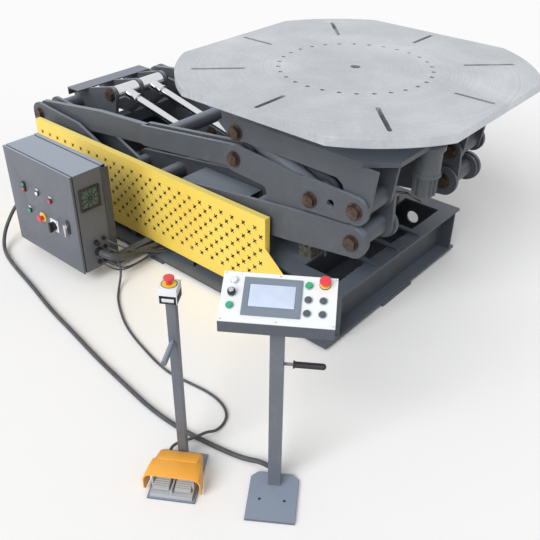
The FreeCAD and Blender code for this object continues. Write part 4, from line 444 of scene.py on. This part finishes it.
# conduit and thin cables between the cabinet's side and the frame
cabinetRoutes = {
    "machineConduit": (0.040, "medium", [
        (-0.922, -1.036, 0.182), (-0.870, -1.036, 0.182), (-0.842, -0.990, 0.164), (-0.850, -0.922, 0.128),
        (-0.872, -0.856, 0.103), (-0.895, -0.789, 0.086), (-0.912, -0.725, 0.066), (-0.919, -0.655, 0.050),
        (-0.919, -0.5558, 0.050)]),
    "sensorCable": (0.009, "limp", [
        (-0.922, -0.993, 0.252), (-0.878, -0.993, 0.252), (-0.856, -0.950, 0.214), (-0.858, -0.895, 0.165),
        (-0.846, -0.839, 0.131), (-0.830, -0.755, 0.098), (-0.818, -0.690, 0.068), (-0.813, -0.630, 0.057),
        (-0.813, -0.5558, 0.057)]),
    "valveCable": (0.009, "limp", [
        (-0.922, -0.988, 0.195), (-0.870, -0.988, 0.195), (-0.858, -0.937, 0.168), (-0.878, -0.860, 0.133),
        (-0.872, -0.789, 0.112), (-0.856, -0.725, 0.084), (-0.846, -0.660, 0.060), (-0.842, -0.602, 0.056),
        (-0.842, -0.5558, 0.056)]),
    "pumpCable": (0.009, "limp", [
        (-0.922, -1.040, 0.115), (-0.872, -1.040, 0.115), (-0.852, -0.998, 0.076), (-0.855, -0.935, 0.050),
        (-0.860, -0.868, 0.042), (-0.868, -0.796, 0.038), (-0.864, -0.735, 0.042), (-0.863, -0.640, 0.044),
        (-0.863, -0.5558, 0.044)]),
    "earthCable": (0.009, "limp", [
        (-0.922, -1.002, 0.112), (-0.868, -1.002, 0.112), (-0.861, -0.955, 0.070), (-0.890, -0.900, 0.030),
        (-0.892, -0.830, 0.020), (-0.889, -0.765, 0.026), (-0.886, -0.712, 0.040), (-0.886, -0.640, 0.047),
        (-0.886, -0.5558, 0.047)]),
}
for cableName, (diameter, stiffness, route) in cabinetRoutes.items():
    layCord(cableName, "cabinet_cables", diameter, [onMachine @ Vector(p) for p in route])
print("cords laid")


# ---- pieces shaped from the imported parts
def partCopy(node, name, join=0.00002, flatten=1.0):
    piece = nodes[node].copy()
    piece.data = nodes[node].data.copy()
    piece.name = name
    piece.parent = None
    piece.matrix_world = Matrix.Identity(4)
    bpy.context.scene.collection.objects.link(piece)
    only(piece)
    bpy.ops.object.mode_set(mode="EDIT")
    bpy.ops.mesh.select_all(action="SELECT")
    bpy.ops.mesh.remove_doubles(threshold=join)
    bpy.ops.mesh.dissolve_limited(angle_limit=math.radians(flatten))
    objectMode()
    return piece


def dressed(piece, body, slotName, *standsFor):
    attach(piece, body)
    if standsFor:
        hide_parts(*standsFor)
    return piece


# guard sheet: punched with small crosses in staggered rows
guardSheet = {"crossLong": 0.031, "crossWide": 0.0085, "pitch": 0.081, "first": (-1.9785, 0.488), "across": 24,
              "rows": 9, "plane": -0.640, "thick": 0.003, "cutDeep": 0.012}


def crossCutter(name):
    arms = []
    for turn in (45.0, -45.0):
        bpy.ops.mesh.primitive_cube_add(size=1.0)
        arm = bpy.context.object
        arm.scale = (guardSheet["crossLong"], guardSheet["cutDeep"], guardSheet["crossWide"])
        arm.rotation_euler = (0.0, math.radians(turn), 0.0)
        bpy.ops.object.transform_apply(location=True, rotation=True, scale=True)
        arms.append(arm)
    only(arms[0])
    union = arms[0].modifiers.new("union", "BOOLEAN")
    union.operation = "UNION"
    union.object = arms[1]
    bpy.ops.object.modifier_apply(modifier="union")
    bpy.data.objects.remove(arms[1])
    arms[0].name = name
    return arms[0]


def crossRows(name, start, rows):
    cutter = crossCutter(name)
    for label, count, step in (("across", guardSheet["across"], (guardSheet["pitch"], 0.0, 0.0)),
                               ("down", rows, (0.0, 0.0, -guardSheet["pitch"]))):
        array = cutter.modifiers.new(label, "ARRAY")
        array.count = count
        array.use_relative_offset = False
        array.use_constant_offset = True
        array.constant_offset_displace = step
        only(cutter)
        bpy.ops.object.modifier_apply(modifier=label)
    middleOfSheet = guardSheet["plane"] + guardSheet["thick"] / 2
    settle(cutter, onMachine @ Matrix.Translation((start[0], middleOfSheet, start[1])))
    return cutter


def makeGuard():
    sheet = partCopy("guard", "perforatedGuard")
    half = guardSheet["pitch"] / 2
    x, z = guardSheet["first"]
    odd = crossRows("oddCrosses", (x, z), (guardSheet["rows"] + 1) // 2)
    even = crossRows("evenCrosses", (x + half, z - half), guardSheet["rows"] // 2)
    for cutter in (odd, even):
        only(sheet)
        punch = sheet.modifiers.new("punch", "BOOLEAN")
        punch.operation = "DIFFERENCE"
        punch.solver = "EXACT"
        punch.object = cutter
        bpy.ops.object.modifier_apply(modifier="punch")
        bpy.data.objects.remove(cutter)
    sheet.data.materials.clear()
    sheet.data.materials.append(guardPaint)
    only(sheet)
    bpy.ops.object.shade_smooth_by_angle(angle=math.radians(edgeAngles["sheet"]))
    return dressed(sheet, "base", "guard_yellow", "guard")


makeGuard()
print("guard punched")


# moulded and turned parts whose edges are rounded on the real ones: node, body, slot, edge radius
roundedParts = {
    "pedal_hood": ("pedalHood", "base", "orange_plastic", 0.0016),
    "estop_box": ("standStopBox", "base", "white_plastic", 0.004),
    "stand_estop": ("standStopHead", "stand_stop", "red_plastic", 0.0024),
    "console_estop": ("consoleStopHead", "console_stop", "red_plastic", 0.0024),
    "door_estop": ("doorStopHead", "door_stop", "red_plastic", 0.0024),
    "button_white": ("whiteCap", "door_white", "white_plastic", 0.0018),
    "button_red": ("redCap", "door_red", "red_plastic", 0.0018),
    "button_green": ("greenCap", "door_green", "green_plastic", 0.0018),
    "dual_on": ("dualOnCap", "door_dual_on", "green_plastic", 0.0015),
    "dual_off": ("dualOffCap", "door_dual_off", "red_plastic", 0.0015),
    "console_green_a": ("panelGreenUpper", "console_green_a", "green_plastic", 0.0018),
    "console_green_b": ("panelGreenLower", "console_green_b", "green_plastic", 0.0018),
    "console_dark_1": ("panelDarkOne", "console_dark_1", "black_plastic", 0.0016),
    "console_dark_2": ("panelDarkTwo", "console_dark_2", "black_plastic", 0.0016),
    "console_dark_3": ("panelDarkThree", "console_dark_3", "black_plastic", 0.0016),
    "console_dark_4": ("panelDarkFour", "console_dark_4", "black_plastic", 0.0016),
    "pendant_grip": ("pendantGrip", "base", "black_plastic", 0.0015),
    "main_switch": ("mainSwitchKnob", "main_switch", "black_plastic", 0.0015),
    "door_handle": ("doorLockLever", "door_lock", "chrome_rod", 0.002),
    "console_box": ("consoleBox", "base", "hmi_grey", 0.0015),
    "hmi": ("hmiFrame", "base", "hmi_grey", 0.003),
    "gearmotor": ("gearmotorHousing", "head", "motor_grey", 0.003),
    "cabinet_door": ("cabinetDoor", "door", "cabinet_grey", 0.0018),
    "pedal_body": ("pedalHousing", "base", "pedal_grey", 0.0012),
    "console_knob": ("panelKnob", "console_knob", "black_plastic", 0.0008),
}
doorSeam = {"groove": 0.007, "doorThick": 0.020, "gap": 0.0003, "hinge": 0.013, "inset": 0.005, "seal": 0.012,
            "sealEdge": 0.0008, "play": 0.0004, "wall": 0.003, "near": 0.0006}


def openSeam(door):
    # the door's folded rim ends short of the body, as the seal holds it
    editMode(door)
    bpy.ops.mesh.select_mode(type="VERT")
    mesh = bmesh.from_edit_mesh(door.data)
    low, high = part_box("cabinet_door")
    back, left = low[1] + doorSeam["doorThick"], low[0] + doorSeam["hinge"]
    for vert in mesh.verts:
        atBack = abs(vert.co.y - back) < doorSeam["near"]
        atEnds = min(vert.co.z - low[2], high[2] - vert.co.z) < doorSeam["wall"]
        clearOfHinges = vert.co.x > left + doorSeam["wall"] or (vert.co.x > left - doorSeam["near"] and atEnds)
        vert.select_set(atBack and clearOfHinges)
    mesh.select_flush(False)
    bmesh.update_edit_mesh(door.data)
    bpy.ops.transform.translate(value=(0.0, -doorSeam["groove"], 0.0))
    objectMode()


for nodeName, (pieceName, bodyName, slotName, radius) in roundedParts.items():
    part = partCopy(nodeName, pieceName)
    if nodeName == "cabinet_door":
        openSeam(part)
    roundEdges(part, radius)
    dressed(part, bodyName, slotName, nodeName)
print("rounded", len(roundedParts), "parts")


# ---- small fittings on the cabinet door and the pendant's panel
plateRounding = {"cornerSteps": 4, "edge": 0.0006}
collarFloor = 0.0008


def collar(outer, hole, height, edge, finish, corners=48):
    # a turned ring standing on the panel, axis up, its hole closed by a thin floor
    bpy.ops.mesh.primitive_cylinder_add(vertices=corners, radius=outer, depth=height, location=(0, 0, height / 2))
    ring = bpy.context.object
    editMode(ring)
    pickFaces(ring, lambda centre, normal: normal.z > 0.9)
    bpy.ops.mesh.inset(thickness=outer - hole, depth=0.0)
    bpy.ops.mesh.extrude_region_move(TRANSFORM_OT_translate={"value": (0, 0, collarFloor - height)})
    objectMode()
    roundEdges(ring, edge, 2)
    ring.data.materials.append(finish)
    return ring


def roundedPlate(width, height, thick, corner, finish):
    # a thin plate with rounded corners lying on the panel
    bpy.ops.mesh.primitive_cube_add(size=1.0, location=(0, 0, thick / 2))
    plate = bpy.context.object
    plate.scale = (width, height, thick)
    bpy.ops.object.transform_apply(location=True, rotation=True, scale=True)
    editMode(plate)
    bpy.ops.mesh.select_mode(type="EDGE")
    mesh = bmesh.from_edit_mesh(plate.data)
    for edge in mesh.edges:
        along = (edge.verts[0].co - edge.verts[1].co).normalized()
        edge.select_set(abs(along.z) > 0.9)
    bmesh.update_edit_mesh(plate.data)
    bpy.ops.mesh.bevel(offset=corner, segments=plateRounding["cornerSteps"])
    objectMode()
    roundEdges(plate, min(plateRounding["edge"], thick / 4), 2)
    plate.data.materials.append(finish)
    return plate


def openFrame(size, centre, axis, wall, edge, steps, finish):
    # a block opened right through along one axis
    bpy.ops.mesh.primitive_cube_add(size=1.0, location=centre)
    block = bpy.context.object
    block.scale = size
    bpy.ops.object.transform_apply(location=True, rotation=True, scale=True)
    editMode(block)
    pickFaces(block, lambda spot, normal: abs(normal[axis]) > 0.9)
    bpy.ops.mesh.inset(thickness=wall, depth=0.0)
    bpy.ops.mesh.bridge_edge_loops()
    objectMode()
    roundEdges(block, edge, steps)
    block.data.materials.append(finish)
    return block


def at(piece, x, y, z=0.0):
    settle(piece, Matrix.Translation((x, y, z)))
    return piece


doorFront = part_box("cabinet_door")[0][1]


def doorSpot(node):
    low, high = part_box(node)
    return ((low[0] + high[0]) / 2, (low[2] + high[2]) / 2)


# local z points out of the door, local y up
def onDoor(spot):
    return Matrix.Translation((spot[0], doorFront, spot[1])) @ Matrix.Rotation(math.radians(90.0), 4, "X")


# collars: outer radius, hole, height, edge; plates: width, height, thickness, corner
doorFittings = {"bezel": (0.0145, 0.0115, 0.007, 0.0009), "holder": (0.030, 0.016, 0.0016, 0.002),
                "tag": (0.0265, 0.0125, 0.0024, 0.001), "tagUp": 0.0225,
                "disc": (0.030, 0.0120, 0.0022, 0.0006), "station": (0.031, 0.061, 0.0078, 0.009),
                "plate": (0.072, 0.072, 0.006, 0.005), "plateUp": 0.002,
                "screw": (0.0042, 0.0022, 0.0014, 0.0004), "screwAt": (0.028, 0.0285, 0.0058),
                "lock": (0.036, 0.088, 0.0030, 0.0165), "lockUp": 0.018}


def makeDoorFittings():
    holder = at(roundedPlate(*doorFittings["holder"], blackPlastic), 0.0, doorFittings["tagUp"])
    tag = at(roundedPlate(*doorFittings["tag"], tagPlastic), 0.0, doorFittings["tagUp"])
    first = joinPieces([collar(*doorFittings["bezel"], blackPlastic), holder, tag], "buttonSurround")
    made = [first, another(first), another(first)]
    for surround, node in zip(made, ("button_white", "button_red", "button_green")):
        settle(surround, onDoor(doorSpot(node)))
    disc = collar(*doorFittings["disc"], yellowPlastic)
    settle(disc, onDoor(doorSpot("door_estop")))
    upper, lower = doorSpot("dual_on"), doorSpot("dual_off")
    station = roundedPlate(*doorFittings["station"], blackPlastic)
    settle(station, onDoor((upper[0], (upper[1] + lower[1]) / 2)))
    plate = roundedPlate(*doorFittings["plate"], panelLight)
    side, up, out = doorFittings["screwAt"]
    screw = at(collar(*doorFittings["screw"], rodChrome, 20), -side, up, out)
    switchPlate = joinPieces([plate, screw, at(another(screw), 2 * side, 0.0)], "switchPlate")
    settle(switchPlate, onDoor(doorSpot("main_switch")) @ Matrix.Translation((0.0, doorFittings["plateUp"], 0.0)))
    lockPlate = roundedPlate(*doorFittings["lock"], blackPlastic)
    settle(lockPlate, onDoor(doorSpot("door_handle")) @ Matrix.Translation((0.0, doorFittings["lockUp"], 0.0)))
    whole = joinPieces(made + [disc, station, switchPlate, lockPlate], "doorFittings")
    return dressed(whole, "door", "mix_fittings", "door_fittings")


makeDoorFittings()

panelFittings = {"lamp": (-0.158, 0.158), "knob": (-0.161, 0.108), "greenLow": (-0.163, 0.060),
                 "green": (0.100, 0.156), "stop": (0.154, 0.166),
                 "darks": ((0.101, 0.101), (0.152, 0.101), (0.100, 0.049), (0.152, 0.049)), "top": 0.003,
                 "ring": (0.0145, 0.0114, 0.006, 0.0009), "lens": 0.0115, "lensHigh": 0.013, "lensUp": 0.0075,
                 "dome": 0.003, "stopCollar": (0.0200, 0.0112, 0.005, 0.0008),
                 "stopDisc": (0.0190, 0.0112, 0.009, 0.0012), "screw": (0.0040, 0.0020, 0.0024, 0.0006),
                 "screwSide": 0.1895, "screwLow": 0.008, "screwHigh": 0.187}


def makePanelFittings():
    top = panelFittings["top"]
    spots = (panelFittings["knob"], panelFittings["greenLow"], panelFittings["green"], *panelFittings["darks"])
    ring = collar(*panelFittings["ring"], satinRing)
    made = [at(another(ring), x, y, top) for x, y in spots]
    bpy.data.objects.remove(ring)
    bpy.ops.mesh.primitive_cylinder_add(vertices=40, radius=panelFittings["lens"], depth=panelFittings["lensHigh"],
                                        location=(0, 0, panelFittings["lensUp"]))
    lens = bpy.context.object
    roundEdges(lens, panelFittings["dome"], 4)
    lens.data.materials.append(whitePlastic)
    for part, spot in ((collar(*panelFittings["ring"], rodChrome), "lamp"), (lens, "lamp"),
                       (collar(*panelFittings["stopCollar"], blackPlastic), "stop"),
                       (collar(*panelFittings["stopDisc"], yellowPlastic), "stop")):
        made.append(at(part, *panelFittings[spot], top))
    side, low, high = panelFittings["screwSide"], panelFittings["screwLow"], panelFittings["screwHigh"]
    screw = collar(*panelFittings["screw"], rodChrome, 24)
    for x, y in ((-side, low), (side, low), (-side, high), (side, high), (0.0, low), (0.0, high)):
        made.append(at(another(screw), x, y, top))
    bpy.data.objects.remove(screw)
    whole = joinPieces(made, "panelFittings")
    settle(whole, onPanel)
    return dressed(whole, "base", "mix_fittings", "console_fittings")


makePanelFittings()
print("fittings made")


# screen glass in the frame's recess, with the soft blue-white of a lit page and plain grey fields
def litScreen(name):
    material, tree, shader, place = startMaterial(name, {"Roughness": 0.18, "IOR": 1.5, "Coat Weight": 0.4,
                                                         "Emission Strength": 0.06})
    cloud = addNode(tree, "ShaderNodeTexNoise", {"Scale": 9.0, "Detail": 2.0}, {"Vector": (place, "Object")})
    page = addNode(tree, "ShaderNodeValToRGB", None, {"Fac": (cloud, "Fac")}, [(0.3, "#bccae2"), (0.7, "#cbd7ec")])
    tree.links.new(page.outputs[0], shader.inputs["Base Color"])
    tree.links.new(page.outputs[0], shader.inputs["Emission Color"])
    return material


screenGlass = litScreen("lit screen glass")
screenSize = {"wide": 0.156, "high": 0.086, "centre": (-0.022, 0.103), "under": 0.0092, "thick": 0.0012,
              "corner": 0.0015}


def makeScreen():
    glass = roundedPlate(screenSize["wide"], screenSize["high"], screenSize["thick"], screenSize["corner"],
                         screenGlass)
    at(glass, *screenSize["centre"], screenSize["under"])
    settle(glass, onPanel)
    glass.name = "hmiScreen"
    return dressed(glass, "base", "panel_light")


makeScreen()

# woven glass-fibre pad behind the fan's louvres
filterPad = {"radius": 0.0555, "thick": 0.002, "rim": 0.003, "raised": 0.0004, "off": 0.0002}
padGreen = mouldedPlastic("grey-green filter mat", "#6f8a80", "#8aa399", 0.8, 0.4)


def makeFilterPad():
    low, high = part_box("fan_grille")
    bpy.ops.mesh.primitive_cylinder_add(vertices=56, radius=filterPad["radius"], depth=filterPad["thick"])
    pad = bpy.context.object
    editMode(pad)
    pickFaces(pad, lambda centre, normal: normal.z > 0.9)
    bpy.ops.mesh.inset(thickness=filterPad["rim"], depth=filterPad["raised"])
    objectMode()
    roundEdges(pad, filterPad["raised"], 2)
    pad.data.materials.append(padGreen)
    spot = Matrix.Translation((low[0] + filterPad["thick"] / 2 + filterPad["off"], (low[1] + high[1]) / 2,
                               (low[2] + high[2]) / 2))
    settle(pad, spot @ Matrix.Rotation(math.radians(90.0), 4, "Y"))
    pad.name = "fanFilterPad"
    return dressed(pad, "base", "pedal_grey")


makeFilterPad()


# moulded square frame with a wide mouth, spokes and a hub over the filter pad
grille = {"half": 0.066, "bar": 0.011, "deep": 0.009, "edge": 0.0016, "hub": 0.014, "hubHigh": 0.006,
          "hubUp": 0.0055, "hubEdge": 0.001, "spokes": 10, "spokeWide": 0.0024, "spokeThick": 0.004,
          "spokeCorner": 0.0008, "spokeUp": 0.003, "turn": 12.0, "bite": 0.002, "hoops": (0.030, 0.046),
          "wire": 0.0011, "wireUp": 0.0045}


def makeGrille():
    low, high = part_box("fan_grille")
    wide = grille["half"] * 2
    made = [openFrame((wide, wide, grille["deep"]), (0, 0, grille["deep"] / 2), 2, grille["bar"], grille["edge"],
                      3, grilleBrown)]
    bpy.ops.mesh.primitive_cylinder_add(vertices=40, radius=grille["hub"], depth=grille["hubHigh"],
                                        location=(0, 0, grille["hubUp"]))
    hub = bpy.context.object
    roundEdges(hub, grille["hubEdge"], 2)
    hub.data.materials.append(grilleBrown)
    made.append(hub)
    reach = grille["half"] - grille["bar"] + grille["bite"]
    for k in range(grille["spokes"]):
        turn = grille["turn"] + 360.0 / grille["spokes"] * k
        # each spoke runs out to the square frame
        length = reach / max(abs(math.cos(math.radians(turn))), abs(math.sin(math.radians(turn))))
        spoke = roundedPlate(length, grille["spokeWide"], grille["spokeThick"], grille["spokeCorner"], grilleBrown)
        at(spoke, length / 2, 0.0, grille["spokeUp"])
        settle(spoke, turnZ(turn))
        made.append(spoke)
    for radius in grille["hoops"]:
        bpy.ops.mesh.primitive_torus_add(major_segments=56, minor_segments=6, major_radius=radius,
                                         minor_radius=grille["wire"], location=(0, 0, grille["wireUp"]))
        hoop = bpy.context.object
        hoop.data.materials.append(grilleBrown)
        made.append(hoop)
    whole = joinPieces(made, "fanGrille")
    spot = Matrix.Translation((low[0], (low[1] + high[1]) / 2, (low[2] + high[2]) / 2))
    settle(whole, spot @ Matrix.Rotation(math.radians(90.0), 4, "Y"))
    return dressed(whole, "base", "black_plastic", "fan_grille")


makeGrille()


# rubber seal in the groove between door and body
def makeDoorSeal():
    low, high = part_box("cabinet_door")
    front = low[1] + doorSeam["doorThick"] + doorSeam["gap"]
    left, inset = low[0] + doorSeam["hinge"], doorSeam["inset"]
    size = (high[0] - left - 2 * inset, doorSeam["groove"] - doorSeam["play"], high[2] - low[2] - 2 * inset)
    centre = ((left + high[0]) / 2, front - doorSeam["groove"] / 2, (low[2] + high[2]) / 2)
    seal = openFrame(size, centre, 1, doorSeam["seal"], doorSeam["sealEdge"], 2, blackPlastic)
    seal.name = "doorSeal"
    return dressed(seal, "base", "cable_black")


makeDoorSeal()

# channel that ties the cabinet's two uprights together behind its top edge
rearChannel = {"deep": 0.026, "high": 0.046, "wall": 0.004, "above": 0.004, "gap": 0.005,
               "edge": 0.0012}


def makeRearChannel():
    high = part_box("cabinet_body")[1]
    doorLow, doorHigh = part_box("cabinet_door")
    x0, x1 = doorLow[0] + doorSeam["hinge"], doorHigh[0]
    y0 = high[1] + rearChannel["gap"]
    z1 = high[2] + rearChannel["above"]
    size = (x1 - x0, rearChannel["deep"], rearChannel["high"])
    centre = ((x0 + x1) / 2, y0 + rearChannel["deep"] / 2, z1 - rearChannel["high"] / 2)
    bar = openFrame(size, centre, 0, rearChannel["wall"], rearChannel["edge"], 2, cabinetPaint)
    bar.name = "cabinetRearChannel"
    return dressed(bar, "base", "cabinet_grey")


makeRearChannel()

# bright cap on the knob
knobCap = {"cap": (0.0090, 0.0030, 0.0016, 0.0005), "up": 0.0292}


def makeKnobCap():
    cap = at(collar(*knobCap["cap"], satinRing), *panelFittings["knob"], knobCap["up"])
    settle(cap, onPanel)
    cap.name = "panelKnobCap"
    return dressed(cap, "console_knob", "chrome_rod")


makeKnobCap()

# yellow disc under the mushroom on the pedal stand, with a dark rim, and the black lower half of its box
standStop = {"at": 0.846, "headUp": 0.066, "rim": (0.0300, 0.0272, 0.0008, 0.0002),
             "disc": (0.0270, 0.0112, 0.0010, 0.0002), "lower": (0.0686, 0.0686, 0.034, 0.0045), "lowerUp": 0.0004,
             "frame": 0.009, "sunk": 0.0012}


def makeStandStop():
    top = standStop["at"] + standStop["headUp"]
    rim = at(collar(*standStop["rim"], blackPlastic), 0.0, 0.0, top)
    disc = at(collar(*standStop["disc"], yellowPlastic), 0.0, 0.0, top)
    lower = roundedPlate(*standStop["lower"], blackPlastic)
    editMode(lower)
    pickFaces(lower, lambda centre, normal: normal.y < -0.9)
    bpy.ops.mesh.inset(thickness=standStop["frame"], depth=-standStop["sunk"])
    objectMode()
    at(lower, 0.0, 0.0, standStop["at"] + standStop["lowerUp"])
    whole = joinPieces([rim, disc, lower], "standStopTrim")
    settle(whole, onPedal)
    return dressed(whole, "base", "mix_fittings")


makeStandStop()
print("screen, filter pad and stand stop made")


# ---- floor, light and world
room = {"floor": 30.0, "below": 0.0005, "key": 2.3, "keyFrom": (0.08, -0.80, 0.58), "softness": 40.0, "sky": 0.53}
bpy.ops.mesh.primitive_plane_add(size=room["floor"], location=(middle.x, middle.y, -room["below"]))
floor = bpy.context.object
floor.name = "floor"
floorFinish, floorTree, floorShader = startMaterial("pale floor", {"Roughness": 0.95})[:3]
floorRays = addNode(floorTree, "ShaderNodeLightPath")
floorSeen = addNode(floorTree, "ShaderNodeMath", {"operation": "MAXIMUM"},
                    {0: (floorRays, "Is Camera Ray"), 1: (floorRays, "Is Glossy Ray")})
floorTone = addNode(floorTree, "ShaderNodeMix", {"data_type": "RGBA", 6: "#c0c0c0", 7: "#ffffff"},
                    {0: (floorSeen, 0)})
floorTree.links.new(floorTone.outputs[2], floorShader.inputs["Base Color"])
floor.data.materials.append(floorFinish)

keyData = bpy.data.lights.new("keyLamp", "SUN")
keyData.energy = room["key"]
keyData.angle = math.radians(room["softness"])
keyLamp = bpy.data.objects.new("keyLamp", keyData)
bpy.context.scene.collection.objects.link(keyLamp)
keyLamp.rotation_euler = Vector(room["keyFrom"]).to_track_quat("Z", "Y").to_euler()
world = bpy.data.worlds.new("studio")
bpy.context.scene.world = world
world.use_nodes = True
worldTree = world.node_tree
worldTree.nodes.clear()
rays = addNode(worldTree, "ShaderNodeLightPath")
seen = addNode(worldTree, "ShaderNodeMath", {"operation": "MAXIMUM"},
               {0: (rays, "Is Camera Ray"), 1: (rays, "Is Glossy Ray")})
seenToo = addNode(worldTree, "ShaderNodeMath", {"operation": "MAXIMUM"},
                  {0: (seen, 0), 1: (rays, "Is Transmission Ray")})
sky = addNode(worldTree, "ShaderNodeBackground", {"Color": "#ffffff", "Strength": room["sky"]})
backdrop = addNode(worldTree, "ShaderNodeBackground", {"Color": "#ffffff", "Strength": 1.0})
shown = addNode(worldTree, "ShaderNodeMixShader", None,
                {0: (seenToo, 0), 1: (sky, "Background"), 2: (backdrop, "Background")})
addNode(worldTree, "ShaderNodeOutputWorld", None, {"Surface": (shown, "Shader")})
bpy.context.scene.view_settings.view_transform = "Standard"
print("room lit")

if bpy.context.object and bpy.context.object.mode != "OBJECT":
    bpy.ops.object.mode_set(mode="OBJECT")
